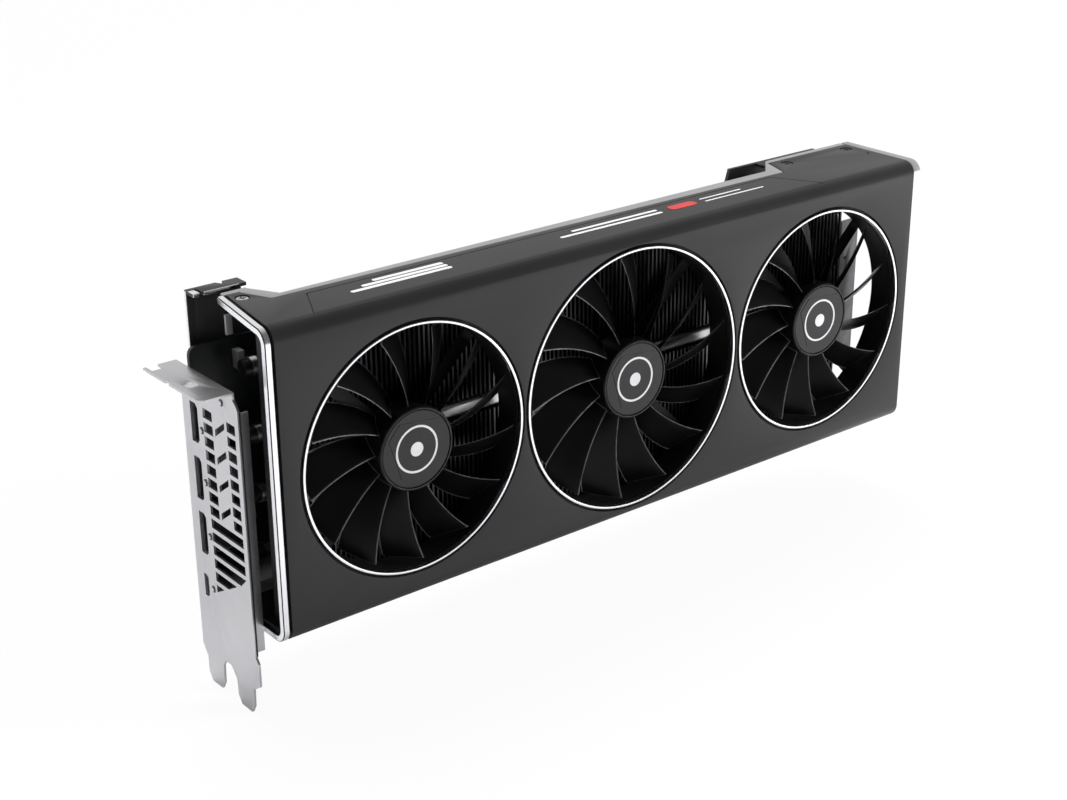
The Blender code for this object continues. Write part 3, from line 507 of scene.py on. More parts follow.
def join(name, first, *others):
    """Put the meshes of other pieces into the first one, and name it."""
    bm = bmesh.new()
    bm.from_mesh(first.data)
    for other in others:
        bm.from_mesh(other.data)
        bpy.data.objects.remove(other, do_unlink=True)
    finish = [m for m in first.data.materials if m][0]
    bm.to_mesh(first.data)
    bm.free()
    first.data.materials.clear()
    first.data.materials.append(finish)
    first.data.polygons.foreach_set("material_index", [0] * len(first.data.polygons))
    first.name = name
    return first


# %% [markdown]
# ## The shroud cover
# The cover is one sheet bent into a U: a flat face with three round windows, a
# top flange with a long notch at its rear edge, and a bottom flange.  A pressed
# sheet never has a sharp edge, so the flat outline is cut first and every edge
# is then rounded a little.

# %% The bent sheet
SHELL_R = 5.5
SHELL_T = 1.5
CORNER_STEPS = 14
ROUND = 128
shell_x = (shell_low.x, shell_high.x)
shell_z = (shell_low.z, shell_high.z)
COVER_START = shell_low.x + 0.8
SLANT = 0.155       # the bracket end of the top flange runs back at this slope


def channel_path(inset, back_y):
    """From the rear of the top flange, round the face, to the rear of the bottom one."""
    corner_y = FACE_Y + SHELL_R
    path = [(back_y, shell_z[1] - inset)]
    path += arc((corner_y, shell_z[1] - SHELL_R), SHELL_R - inset, 90, 180, CORNER_STEPS)
    path += arc((corner_y, shell_z[0] + SHELL_R), SHELL_R - inset, 180, 270, CORNER_STEPS)
    return path + [(back_y, shell_z[0] + inset)]


def channel(inset, wall, back_y, span):
    return prism(channel_path(inset, back_y) + channel_path(inset + wall, back_y)[::-1], "X", span)


def lean(bm, start):
    """Move the bracket end of the top flange along with the slant."""
    bmesh.ops.triangulate(bm, faces=[f for f in bm.faces if len(f.verts) > 4])
    for vert in bm.verts:
        back = vert.co.y - (FACE_Y + SHELL_R) * MM
        if vert.co.z > (shell_z[1] - 4) * MM and back > 0 and vert.co.x < (start + 5) * MM:
            vert.co.x += SLANT * back
    return bm


cover_bm = lean(channel(0, SHELL_T, shell_high.y, (COVER_START, shell_x[1])), COVER_START)
cover = build("shroud_cover", cover_bm, shroud_black)

# %% Windows, rear notch and screw seats
WINDOW_GAP = 1.05
SCREW_BOXES = {name: box_mm("shroud_screw_" + name) for name in FAN_NAMES}
through_top = (shell_z[1] - SHELL_T - 1, shell_z[1] + 1)
notch = [(-79.8, 0), (-79.7, -9.8), (-74.7, -20.7), (161.9, -22.0), (166.7, -9.0), (166.9, 0)]
cuts = prism(notch, "Z", through_top)
for x, z, radius in fans.values():
    prism(circle((x, z), radius + RING_W / 2 + WINDOW_GAP, ROUND), "Y", (FACE_Y - 1, FACE_Y + SHELL_R), cuts)
for low, high in SCREW_BOXES.values():
    prism(circle(middle(low, high, "xy"), (high.x - low.x) / 2 + 0.3, 32), "Z", through_top, cuts)
ease(carve(cover, cuts), 0.3, 3)

# %% The fine groove round the name panel, and the small hole beside it
PANEL_Y = -24.2
PANEL_X = (-63.5, 152.1)
GROOVE_W = 0.45
GROOVE_DEPTH = 0.4
groove = [(PANEL_X[0] - 9.5, FACE_Y + 2.2), (PANEL_X[0], PANEL_Y), (PANEL_X[1], PANEL_Y),
          (PANEL_X[1] + 11, FACE_Y + 2.2)]
carve(cover, prism(stroke(groove, GROOVE_W), "Z", (shell_z[1] - GROOVE_DEPTH, shell_z[1] + 1)))
carve(cover, prism(circle((209.0, PANEL_Y), 0.7, 20), "Z", through_top))
publish(cover, ["shroud_shell"])

# %% [markdown]
# ## Printed marks on the top
# The real card carries lettering there.  A reusable part carries none, so plain
# stripes of about the same length and tone keep the balance of the panel.

# %% Stripes
PRINT_Y = -30.0
STRIPES = {
    # name: finish, then each stripe's ends, place across the flange and width
    "printed_stripes_left": (print_white, [((-51.7, -10.7), -2.7, 1.9), ((-45.7, -10.7), 0, 1.9),
                                           ((-39.7, -10.7), 2.7, 1.9)]),
    "printed_stripes_middle": (print_white, [((38.3, 87.3), -1.6, 1.5), ((46.0, 87.3), 1.6, 1.5)]),
    "printed_block": (print_red, [((92.3, 105.5), 0, 4.6)]),
    "printed_stripes_right": (print_white, [((109.3, 140.3), -1.6, 0.8), ((109.3, 131.0), 1.6, 0.8)]),
}
for name, (finish, rows) in STRIPES.items():
    bm = bmesh.new()
    for x, y, width in rows:
        prism(rounded(x, about(PRINT_Y + y, width / 2), width * 0.42), "Z",
              (shell_z[1] + 0.01, shell_z[1] + 0.09), bm)
    publish(build(name, bm, finish))

# %% [markdown]
# ## Bright end trim
# A polished band closes the bracket end of the shroud, with a groove along its
# corner, and a black strip laid in that groove paints its shade.  The section is
# small and the path is long, so the trim is a skin of rows: each point of the
# section becomes one row along the bent path.

# %% Sweep a section along the bent path
def swept(section, back_y):
    """section is a closed run of (x, inset) points."""
    bm = bmesh.new()
    rows = []
    for x, inset in section:
        rows.append([bm.verts.new(Vector((x, y, z)) * MM) for y, z in channel_path(inset, back_y)])
    faces = []
    for i, row in enumerate(rows):
        after = rows[(i + 1) % len(rows)]
        for j in range(len(row) - 1):
            faces.append(bm.faces.new((row[j], row[j + 1], after[j + 1], after[j])))
    for end in (0, -1):
        faces.append(bm.faces.new([row[end] for row in rows]))
    bmesh.ops.recalc_face_normals(bm, faces=faces)
    return bm


trim_low, trim_high = box_mm("shroud_end_trim")
TRIM_DEPTH = 2.2
REBATE = 0.38
bands = swept([(trim_low.x, REBATE + 0.06), (trim_low.x + 0.06, REBATE), (trim_low.x + REBATE, REBATE),
               (trim_low.x + REBATE, 0.06), (trim_low.x + REBATE + 0.06, 0), (trim_high.x - 0.2, 0),
               (trim_high.x, 0.2), (trim_high.x, TRIM_DEPTH), (trim_low.x, TRIM_DEPTH)], shell_high.y)
publish(build("end_trim_bands", lean(bands, trim_low.x), trim_bright), ["shroud_end_trim"])
# A black strip laid in the corner groove paints its shade.
near, far = 0.16, REBATE - 0.02
groove_shade_strip = swept(rectangle((trim_low.x + near, trim_low.x + far), (near, far)), shell_high.y - 0.1)
publish(build("end_trim_groove", lean(groove_shade_strip, trim_low.x), deck_black))

# %% [markdown]
# ## Frame behind the cover
# Behind the cover sits a black plastic deck with a window for each fan.  Along
# the rear, an aluminium edge shows as a grey line.  They are separate pieces
# here, because one is moulded and the other rolled.

# %% Deck
FRAME_INSET = 1.8
FRAME_T = 1.2
DUCT_WALL = 1.5
DUCT_DEPTH = 13.0
RIM_START = {"top": -24.0, "bottom": -13.0}
frame_low, frame_high = box_mm("fan_frame")
deck_x = (trim_high.x + 0.1, shell_x[1] - 0.4)
flange_reach = (shell_z[1] - FRAME_INSET - FRAME_T - 1, shell_z[1] + 1)
deck_bm = lean(channel(FRAME_INSET, FRAME_T, RIM_START["bottom"], deck_x), deck_x[0])
deck = build("fan_deck", deck_bm, deck_black)
cuts = prism(rectangle((deck_x[0] - 1, deck_x[1] + 1), (RIM_START["top"], 2)), "Z", flange_reach)
for x, z, radius in fans.values():
    prism(circle((x, z), radius - RING_W / 2, ROUND), "Y", (FACE_Y, FACE_Y + DUCT_DEPTH + 1), cuts)
publish(ease(carve(deck, cuts), 0.3), ["fan_frame"])

# %% Dark baffle that closes the bracket end of the deck
baffle_bm = prism(rounded((FACE_Y + 3.4, FACE_Y + DUCT_DEPTH), (shell_z[0] + 3.4, shell_z[1] - 3.4), 2.5), "X",
                  (COVER_START + 0.9, COVER_START + 1.9))
publish(ease(build("end_baffle", baffle_bm, deck_black), 0.2))

# %% Aluminium edge along the rear
SKIN = 0.06         # how far the edge stays under the cover's surface
rim_z = {"top": (shell_z[1] - FRAME_INSET - FRAME_T, shell_z[1] - SKIN),
         "bottom": (shell_z[0] + FRAME_INSET, shell_z[0] + FRAME_INSET + FRAME_T)}
rim_parts = []
for edge, span in rim_z.items():
    reach = (RIM_START[edge] + 0.1, frame_high.y)
    slope = SLANT if edge == "top" else 0
    left = [deck_x[0] + slope * (y - FACE_Y - SHELL_R) for y in reach]
    outline = [(left[0], reach[0]), (deck_x[1], reach[0]), (deck_x[1], reach[1]), (left[1], reach[1])]
    rim_parts.append(build("rear_edge", prism(outline, "Z", span), rim_grey))
cover_rear = shell_high.y + 0.3
under_cover = [(deck_x[0] - 9, -60), (deck_x[0] - 9, cover_rear), (-79.5, cover_rear), (-79.4, -9.6),
               (-74.5, -20.4), (161.7, -21.7), (166.4, -8.8), (166.6, cover_rear), (deck_x[1] + 9, cover_rear),
               (deck_x[1] + 9, -60)]
carve(rim_parts[0], prism(under_cover, "Z", (shell_z[1] - FRAME_INSET, shell_z[1] + 1)))
rim_notch = [(-75.7, 2), (-75.7, -6.6), (-69.7, -17.6), (157.3, -16.2), (168.8, -4.7), (168.8, 2)]
cuts = prism(rim_notch, "Z", flange_reach)
for low, high in SCREW_BOXES.values():
    prism(circle(middle(low, high, "xy"), 1.0, 20), "Z", flange_reach, cuts)
carve(rim_parts[0], cuts)
publish(ease(join("rear_edge_strips", *rim_parts), 0.25))

# %% The lip at the tail, and a bright strip on the cover's end that paints its edge highlight
corner = (FACE_Y + SHELL_R, shell_z[1] - SHELL_R)
outside, inside = ([(frame_high.y, shell_z[1] - inset)] + arc(corner, SHELL_R - inset, 90, 165, 10)
                   for inset in (SKIN, FRAME_T))
lip = build("tail_lip", prism(outside + inside[::-1], "X", (shell_x[1] + 0.35, frame_high.x)), rim_grey)
publish(ease(lip, 0.3))
# A thin bright strip on the cover's end face paints its edge highlight.
edge_x = (shell_x[1] + 0.02, shell_x[1] + 0.18)
end_highlight_strip = swept(rectangle(edge_x, (0.05, 0.5)), shell_high.y - 0.3)
publish(build("cover_cut_edge", end_highlight_strip, can_silver))

# %% Fan mounts: duct, motor disc on four struts, and the tube that holds the shaft
HUB_R = 15.2
BASE_DEPTH = (11.8, 12.8)
TUBE_DEPTH = (3.8, 12.3)
TUBE_R = 3.3
SHAFT_BORE_R = 1.3
STRUTS = 4
STRUT_W = 5.0


def spider_outline(x, z, reach):
    disc = HUB_R - 0.8
    half = math.degrees(math.asin(STRUT_W / 2 / disc))
    points = []
    for strut in range(STRUTS):
        bearing = 45 + strut * 360 / STRUTS
        turn = math.radians(bearing)
        along = Vector((math.cos(turn), math.sin(turn))) * reach
        across = Vector((-math.sin(turn), math.cos(turn))) * STRUT_W / 2
        points += [(x + p.x, z + p.y) for p in (along - across, along + across)]
        points += arc((x, z), disc, bearing + half, bearing + 360 / STRUTS - half, 12)
    return points


for name, (x, z, radius) in fans.items():
    inner = radius - RING_W / 2
    outer = inner + DUCT_WALL
    front, rear = FACE_Y + FRAME_INSET + FRAME_T + 0.3, FACE_Y + DUCT_DEPTH
    duct = turned([(inner, front), (outer, front), (outer, rear - 0.3), (outer - 0.3, rear),
                   (inner + 0.3, rear), (inner, rear - 0.3)], ROUND, (x, z), closed=True)
    mount = build("fan_duct_" + name, duct, deck_black)
    carve(mount, prism(spider_outline(x, z, inner + DUCT_WALL / 2), "Y", [FACE_Y + d for d in BASE_DEPTH]), "UNION")
    tube = [FACE_Y + d for d in TUBE_DEPTH]
    carve(mount, turned(rectangle((0, TUBE_R), tube), 32, (x, z)), "UNION")
    carve(mount, prism(circle((x, z), SHAFT_BORE_R, 24), "Y", (tube[0] - 1, FACE_Y + BASE_DEPTH[0] - 0.1)))
    publish(mount, ["fan_mount_" + name])

# %% [markdown]
# ## Bright rings
# Each window has a thin turned aluminium ring.  A turned section with rounded
# shoulders catches the light all the way round, as the real ring does.

# %% Rings
for name, (x, z, radius) in fans.items():
    low, high = ring_boxes[name]
    inner, outer, soft = radius - RING_W / 2, radius + RING_W / 2, 0.3
    ring = turned([(inner, low.y + soft), (inner + 0.09, low.y + 0.09), (inner + soft, low.y),
                   (outer - soft, low.y), (outer - 0.09, low.y + 0.09), (outer, low.y + soft),
                   (outer, high.y), (inner, high.y)], 160, (x, z), closed=True)
    publish(build("window_ring_" + name, ring, ring_bright), ["fan_ring_" + name])

# %% [markdown]
# ## Fans
# A fan blade starts steep at the hub and flattens towards its tip while it
# sweeps back.  One blade is skinned from sections that follow that rule, with
# front and rear edges that are equally thin and rounded, and Geometry Nodes
# turn it round the hub thirteen times.  The hub is a turned cup.

# %% One blade
BLADES = 13
SWEEP = 0.44
BLADE_FRONT = (3.2, 1.4)
BLADE_BACK = 10.6
BLADE_CHORD = (20.0, 15.5)
BLADE_T = 0.5
BULGE = 0.10
TIP_GAP = 2.05
TIP_ANGLES = {"left": 79.0, "middle": 70.3, "right": 79.0}


def blade_point(radius, share, tip_r, tip_angle, across, offset):
    angle = tip_angle - SWEEP * (tip_r - radius)
    angle -= across * (BLADE_CHORD[0] + (BLADE_CHORD[1] - BLADE_CHORD[0]) * share)
    front = BLADE_FRONT[0] + (BLADE_FRONT[1] - BLADE_FRONT[0]) * share
    depth = front + (BLADE_BACK - front) * (across + BULGE * math.sin(math.pi * across))
    turn = math.radians(angle)
    return Vector((radius * math.cos(turn), FACE_Y + depth + offset, radius * math.sin(turn))) * MM


def skinned_blade(tip_r, tip_angle, stations=14, chords=10):
    """A closed blade: each station is a loop round its own thin section."""
    bm = bmesh.new()
    root_r = HUB_R - 0.7
    steps = [(-1, step) for step in range(chords + 1)] + [(1, step) for step in range(chords - 1, 0, -1)]
    loops = []
    for station in range(stations):
        share = station / (stations - 1)
        radius = root_r + (tip_r - root_r) * share
        tip_round = 1.0 if share < 0.97 else 0.6
        loop = []
        for side, step in steps:
            across = step / chords
            thick = BLADE_T * math.sin(math.pi * min(1.0, across * 0.92 + 0.04)) ** 0.45
            loop.append(bm.verts.new(blade_point(radius, share, tip_r, tip_angle, across,
                                                 side * thick * tip_round)))
        loops.append(loop)
    faces = []
    for near, far in zip(loops, loops[1:]):
        for i in range(len(near)):
            j = (i + 1) % len(near)
            faces.append(bm.faces.new((near[i], far[i], far[j], near[j])))
    for loop in (loops[0], loops[-1]):
        faces.append(bm.faces.new(loop))
    bmesh.ops.recalc_face_normals(bm, faces=faces)
    return bm


# %% Hub cup and the ring of blades
HUB_FRONT = 0.3
HUB_BACK = 11.0
HUB_WALL = 1.3
BADGE_R = 14.0
recess = HUB_FRONT + 0.9
HUB_PROFILE = [(0, recess), (BADGE_R + 0.3, recess), (BADGE_R + 0.3, HUB_FRONT + 0.2), (BADGE_R + 0.45, HUB_FRONT),
               (HUB_R - 0.5, HUB_FRONT), (HUB_R - 0.15, HUB_FRONT + 0.15), (HUB_R, HUB_FRONT + 0.5),
               (HUB_R, HUB_BACK), (HUB_R - HUB_WALL, HUB_BACK), (HUB_R - HUB_WALL, recess + HUB_WALL),
               (0, recess + HUB_WALL)]
for name, (x, z, radius) in fans.items():
    blade = skinned_blade(radius - RING_W / 2 - TIP_GAP, TIP_ANGLES[name])
    blades = copied("blades", round_copier, blade, fan_black, Count=BLADES, Centre=(x * MM, 0.0, z * MM))
    hub = build("hub", turned([(r, FACE_Y + d) for r, d in HUB_PROFILE], 96, (x, z)))
    rotor = join("fan_rotor_detail_" + name, blades, hub)
    publish(rotor, ["fan_rotor_" + name], "fan_" + name, 50)

# %% Hub caps with a pressed crease, and on them a plain ring and dot
CREASE = [(9.2, 9.2), (-6.6, 10.9), (-11.4, 5.6), (-6.8, -9.6)]
for name, (x, z, radius) in fans.items():
    low, high = box_mm("fan_badge_" + name)
    disc = turned([(0, low.y), (BADGE_R - 0.3, low.y), (BADGE_R, low.y + 0.25), (BADGE_R, high.y), (0, high.y)],
                  96, (x, z))
    cap = build("hub_cap_" + name, disc, badge_grey)
    crease = stroke([(x + u, z + v) for u, v in CREASE], 0.42)
    carve(cap, prism(crease, "Y", (low.y - 0.5, low.y + 0.22)))
    publish(cap, ["fan_badge_" + name], "fan_" + name)
    film = (low.y - 0.07, low.y - 0.01)
    bm = turned(rectangle((7.9, 8.7), film), 72, (x, z), closed=True)
    turned(rectangle((0, 2.6), film), 40, (x, z), bm=bm)
    publish(build("hub_mark_" + name, bm, emblem_white), (), "fan_" + name)

# %% [markdown]
# ## Cooling fins
# A fin stack is a pile of thin sheets, each folded at its front edge so that
# the next one sits at the right distance.  One folded fin is the pattern, and
# Geometry Nodes lay a fin every 2 mm.  The folds get a paler metal finish that
# paints the highlight they catch.

# %% One folded fin and its rows
FIN_PITCH = 2.0
FIN_T = 0.28
FOLD = 0.42
PIPE_GAP = 0.3
pipe_low, pipe_high = box_mm("heat_pipe_front")


def fin_sheet(low, high):
    """A fin in the plane across the card, with a notch for the flat pipe."""
    front, floor = low.y + 0.27, pipe_high.y + PIPE_GAP
    bottom, top = pipe_low.z - PIPE_GAP, pipe_high.z + PIPE_GAP
    outline = [(front, low.z), (high.y, low.z), (high.y, high.z), (front, high.z),
               (front, top), (floor, top), (floor, bottom), (front, bottom)]
    return prism(outline, "X", (0, FIN_T))


def fin_fold(low, high):
    """The fold along the front edge of a fin, above and below the flat pipe."""
    bm = bmesh.new()
    for z in ((low.z + 0.05, pipe_low.z - 0.9), (pipe_high.z + 0.9, high.z - 0.05)):
        prism(rectangle((0, FIN_T + FOLD), (low.y, low.y + 0.26)), "Z", z, bm)
    return bm


for side in SIDES:
    low, high = box_mm("fin_stack_" + side)
    row = {"Count": int((high.x - low.x - FIN_T - FOLD) / FIN_PITCH) + 1,
           "Start": (low.x * MM, 0.0, 0.0), "Step": (FIN_PITCH * MM, 0.0, 0.0)}
    fins = copied("fins_" + side, line_copier, fin_sheet(low, high), fin_black, **row)
    publish(fins, ["fin_stack_" + side], BODY, 0)
    # The folds carry the paler finish that paints their highlight.
    fold_highlights = copied("fin_folds_" + side, line_copier, fin_fold(low, high), fin_fold_highlight, **row)
    publish(fold_highlights, (), BODY, 0)

# %% [markdown]
# ## Heat pipes
# Four round pipes run under the fins and come out at the bracket end, where
# each ends in a dark blunt cap with a pale metal collar.  A fifth, flattened one
# lies in the front of the fins and shines between the blades.

# %% Round pipes with blunt ends
COLLAR = (3.0, 5.4)
# The round pipes are dark all along, with a pale ring near their bracket end.
for number in range(1, 5):
    low, high = box_mm(f"heat_pipe_{number}")
    radius = (high.z - low.z) / 2
    centre = middle(low, high, "yz")
    ends = [low.x + reach for reach in COLLAR]
    collar = turned(rectangle((radius + 0.02, radius + 0.3), ends), 32, centre, "X", closed=True)
    publish(build(f"pipe_collar_{number}", collar, steel))
    pipe = turned([(0, low.x), (radius - 0.6, low.x), (radius - 0.17, low.x + 0.18), (radius, low.x + 0.6),
                   (radius, high.x - 3.6), (2.2, high.x - 2.0), (1.6, high.x - 1.2), (1.2, high.x - 0.2),
                   (0, high.x)], 32, centre, "X")
    publish(build(f"round_pipe_{number}", pipe, dark_pipe), [f"heat_pipe_{number}"])

# %% Flattened front pipe
flat = rounded((pipe_low.y, pipe_high.y), (pipe_low.z, pipe_high.z), 1.6, 8)
flat_pipe = build("flat_pipe", prism(flat, "X", (pipe_low.x, pipe_high.x)), pipe_nickel)
publish(ease(flat_pipe, 0.4, 3, 60), ["heat_pipe_front"])

# %% [markdown]
# ## Sheet metal and blocks with eased edges
# Many pieces already have the right outline in the engineering model and lack
# only the small radius that stamping, moulding or machining leaves.  For them a
# copy is merged into clean faces and its edges are eased.

# %% Eased copies
EASED = [
    # engineering piece, name here, finish, radius, slot
    ("cold_plate", "cold_plate_milled", pipe_nickel, 0.3, "pipe_nickel"),
    ("cooler_end_bracket", "end_strip", strip_grey, 0.25, "strip_grey"),
    ("gpu_package", "processor_package", chip_black, 0.1, "board_black"),
    ("gpu_die", "processor_die", die_grey, 0.04, "die_grey"),
    *(("thermal_pad_" + side, "soft_pad_" + side, pad_grey, 0.25, "pad_grey") for side in SIDES),
    ("io_bracket", "slot_bracket", bracket_steel, 0.16, "bracket_steel"),
    *(("video_port_" + port, "port_shell_" + port, port_steel, 0.12, "port_steel")
      for port in ("wide", "upper", "lower")),
    ("round_port", "port_shell_round", port_steel, 0.12, "port_steel"),
    *(("power_socket_" + side, "socket_block_" + side, socket_black, 0.2, "socket_black") for side in SIDES),
    ("backplate", "rear_cover", cover_black, 0.3, "backplate_black"),
    ("retention_bracket", "spring_cross", steel, 0.2, "spring_steel"),
    *((f"memory_chip_{n}", f"memory_{n}", chip_black, 0.12, "chip_black") for n in range(1, 7)),
]
FOLD_ANGLE = 25     # turns sharper than this stay crisp on sheet metal and blocks
for node, name, finish, radius, slot in EASED:
    publish(ease(merged_copy(node, name, finish), radius), [node], BODY, FOLD_ANGLE)

# %% Finishes for the engineering pieces that stay as they are
KEPT = {"circuit_board": board_black}
for name in FAN_NAMES:
    KEPT.update({"fan_shaft_" + name: steel, "fan_magnet_" + name: magnet_grey,
                 "fan_stator_" + name: winding_copper})
for node, finish in KEPT.items():
    for seat in nodes[node].material_slots:
        seat.material = finish
print("engineering pieces kept:", sorted(KEPT))

# %% [markdown]
# ## Screws
# A screw head is a turned disc with a cross cut into it.

# %% Cross-head screws
def cut_cross(item, place, axis, reach, half, depths):
    """Cut each arm on its own, because arms that overlap in one cutter cancel out."""
    for u, v in ((reach, half), (half, reach)):
        carve(item, prism(rectangle(about(place[0], u), about(place[1], v)), axis, depths))
    return item


def cross_screw(name, finish, place, axis, head_r, depths, cross):
    """A head between two depths along an axis; the second depth is the outside."""
    inner, outer = depths
    way = 1 if outer > inner else -1
    soft = 0.3
    head = turned([(0, inner), (head_r, inner), (head_r, outer - way * soft), (head_r - 0.1, outer - way * 0.1),
                   (head_r - soft, outer), (0, outer)], 32, place, axis)
    return cut_cross(build(name, head, finish), place, axis, cross, 0.32,
                     sorted((outer - way * 0.6, outer + way * 0.5)))


for name, (low, high) in SCREW_BOXES.items():
    screw = cross_screw("cover_screw_" + name, can_silver if name == "left" else cover_black,
                        middle(low, high, "xy"), "Z", (high.x - low.x) / 2, (low.z, high.z), 1.5)
    publish(screw, ["shroud_screw_" + name])

# %% Spring screws behind the processor
SHANK_R = 1.6
for number in range(1, 5):
    low, high = box_mm(f"spring_screw_{number}")
    place = middle(low, high)
    head_r, neck = (high.x - low.x) / 2, high.y - 2.1
    shape = turned([(0, low.y), (SHANK_R - 0.3, low.y), (SHANK_R, low.y + 0.3), (SHANK_R, neck),
                    (head_r - 0.2, neck), (head_r, neck + 0.2), (head_r, high.y - 0.4), (head_r - 0.4, high.y),
                    (0, high.y)], 32, place)
    screw = build(f"spring_screw_turned_{number}", shape, steel)
    cut_cross(screw, place, "Y", 1.6, 0.35, (high.y - 0.9, high.y + 0.5))
    publish(screw, [f"spring_screw_{number}"])

# %% Screws that hold the backplate
cover_low, cover_high = box_mm("backplate")
BACKPLATE_SCREWS = ((-62, 22), (-62, 104), (64, 22), (64, 104), (160, 22), (160, 96))
for number, place in enumerate(BACKPLATE_SCREWS, 1):
    screw = cross_screw(f"backplate_screw_{number}", cover_black, place, "Y", 2.3,
                        (cover_high.y + 0.02, cover_high.y + 0.9), 1.4)
    publish(screw)

# %% [markdown]
# ## Small metal at the bracket end
# Between the bracket and the fins a few pale metal parts show: a tab of the
# frame and three clips on the board.  Thin bright strips along the folded edge
# of the backplate paint its highlight.

# %% Tab, clips, and bright strips that paint the backplate's edge highlight
def block(x, y, z, bm=None):
    return prism(rectangle(x, y), "Z", z, bm)


def blocks(name, finish, sizes, radius=0.15):
    bm = bmesh.new()
    for x, y, z in sizes:
        block(x, y, z, bm)
    return publish(ease(build(name, bm, finish), radius), (), BODY, FOLD_ANGLE)


board_low, board_high = box_mm("circuit_board")
blocks("frame_tab", rim_grey, [((-86.0, -83.6), (-9.6, -8.4), (114.0, 121.0))])
blocks("board_clips", rim_grey,
       [((-79.9, -77.4), (-5.0, board_low.y - 0.05), z) for z in ((98.6, 105.4), (42.5, 48.0), (18.4, 24.5))])
# Thin bright strips on the backplate's edges paint their highlight.
blocks("backplate_bare_edges", trim_bright,
       [((-88.7, -75.4), (-1.2, -0.84), (126.3, 127.5)), ((-92.6, -90.3), (-1.2, -0.84), (126.3, 127.5)),
        ((-92.6, -90.3), (-1.2, 2.6), (127.42, 127.55)),
        ((cover_low.x - 0.12, cover_low.x - 0.01), (4.0, 5.3), (11.0, 127.2))], 0.03)

# %% [markdown]
# ## Small parts on the board
# Contacts, chokes, capacitors and pins are rows of equal shapes, so the line
# tree places them all.

# %% Gold edge contacts on both faces
def row_of(name, pattern, finish, count, start, step):
    return copied(name, line_copier, pattern, finish, Count=count,
                  Start=tuple(v * MM for v in start), Step=tuple(v * MM for v in step))


FILM = (0.005, 0.05)
rows = []
for start_x, count in ((-48.6, 11), (-34.9, 71)):
    for y in ((board_low.y - FILM[1], board_low.y - FILM[0]), (board_high.y + FILM[0], board_high.y + FILM[1])):
        rows.append(row_of("contacts", block(about(0, 0.35), y, (0.5, 7.2)), gold, count,
                           (start_x, 0, 0), (1.0, 0, 0)))
publish(join("edge_contacts", *rows), (), BODY, 0)

# %% Port screws, their dark seats, and a dark strip that paints the shade in the seam beside the bracket's folded edge
SHEET_T = 0.86
plate_x = box_mm("video_port_wide")[0].x - 0.3 - SHEET_T
PORT_SCREWS = ((-8.4, 82.6), (-8.2, 63.4), (-8.2, 43.0), (-7.4, 22.4), (-23.1, 97.4))
# A thin dark strip paints the shade in the gap between the bracket plate and its folded edge.
seam_shade_and_seats = block((plate_x + 0.5, plate_x + 1.15), (-33.5, -33.42), (7.0, 97.0))
heads = bmesh.new()
for y, z in PORT_SCREWS:
    turned(rectangle((0, 1.3), (plate_x - 0.06, plate_x - 0.01)), 28, (y, z), "X", bm=seam_shade_and_seats)
    turned([(0, plate_x - 0.4), (0.55, plate_x - 0.4), (0.75, plate_x - 0.25), (0.75, plate_x - 0.07),
            (0, plate_x - 0.07)], 20, (y + 0.25, z - 0.1), "X", bm=heads)
publish(build("bracket_dark_seats", seam_shade_and_seats, socket_black))
publish(build("port_screws", heads, can_silver))

# %% Chokes and capacitors
CHOKES, CHOKE_PITCH = 8, 10.5
CANS, CAN_PITCH = 10, 9.0
plate_low, plate_high = box_mm("cold_plate")
surface = board_low.y - 0.02


def choke():
    bm = block(about(0, 3.5), (surface - 4.2, surface), about(0, 3.5))
    bmesh.ops.bevel(bm, geom=bm.edges[:], offset=0.4 * MM, segments=2, affect="EDGES", profile=0.5)
    return bm


def capacitor():
    return turned([(0, surface - 5.6), (2.1, surface - 5.6), (2.4, surface - 5.45), (2.5, surface - 5.2),
                   (2.5, surface - 1.2), (2.3, surface - 1.0), (2.5, surface - 0.8), (2.5, surface), (0, surface)],
                  24)


for side, x, away in (("left", plate_low.x - 7.0, -8.5), ("right", plate_high.x + 7.0, 8.5)):
    chokes = row_of("chokes_" + side, choke(), choke_grey, CHOKES, (x, 0, 26.0), (0, 0, CHOKE_PITCH))
    publish(chokes, (), BODY, 50)
    cans = row_of("capacitors_" + side, capacitor(), can_silver, CANS, (x + away, 0, 22.5), (0, 0, CAN_PITCH))
    publish(cans, (), BODY, 50)

# %% Contact pins in the ports
PIN_PITCH = 0.9
pins = []
for port in ("video_port_wide", "video_port_upper", "video_port_lower", "round_port"):
    low, high = box_mm(port)
    y, z = middle(low, high, "yz")
    count = int((high.z - low.z - 5.0) / PIN_PITCH) + 1
    pins.append(row_of("pins", block((low.x + 1.3, low.x + 5.5), (y - 0.62, y - 0.52), about(0, 0.2)), gold, count,
                       (0, 0, z - (count - 1) * PIN_PITCH / 2), (0, 0, PIN_PITCH)))
publish(join("port_contact_pins", *pins), (), BODY, 0)

# %% Pins and latches of the power sockets
PLUG_PITCH = 4.2
pins = []
for side in SIDES:
    low, high = box_mm("power_socket_" + side)
    x, y = middle(low, high, "xy")
    for row_y in about(y, PLUG_PITCH / 2):
        pin = block(about(0, 0.4), about(row_y, 0.4), (high.z - 7.98, high.z - 1.6))
        pins.append(row_of("pins", pin, can_silver, 4, (x - 1.5 * PLUG_PITCH, 0, 0), (PLUG_PITCH, 0, 0)))
    latch = block(about(x, 2.2), (low.y - 0.9, low.y - 0.02), (high.z - 4.6, high.z - 2.4))
    publish(ease(build("socket_latch_" + side, latch, socket_black), 0.25))
publish(join("power_socket_pins", *pins), (), BODY, 0)

# %% [markdown]
# ## Floor, light and camera
# A product picture wants a pale floor that runs out of view, a large soft light
# overhead, and a weaker one from the side that the front faces.

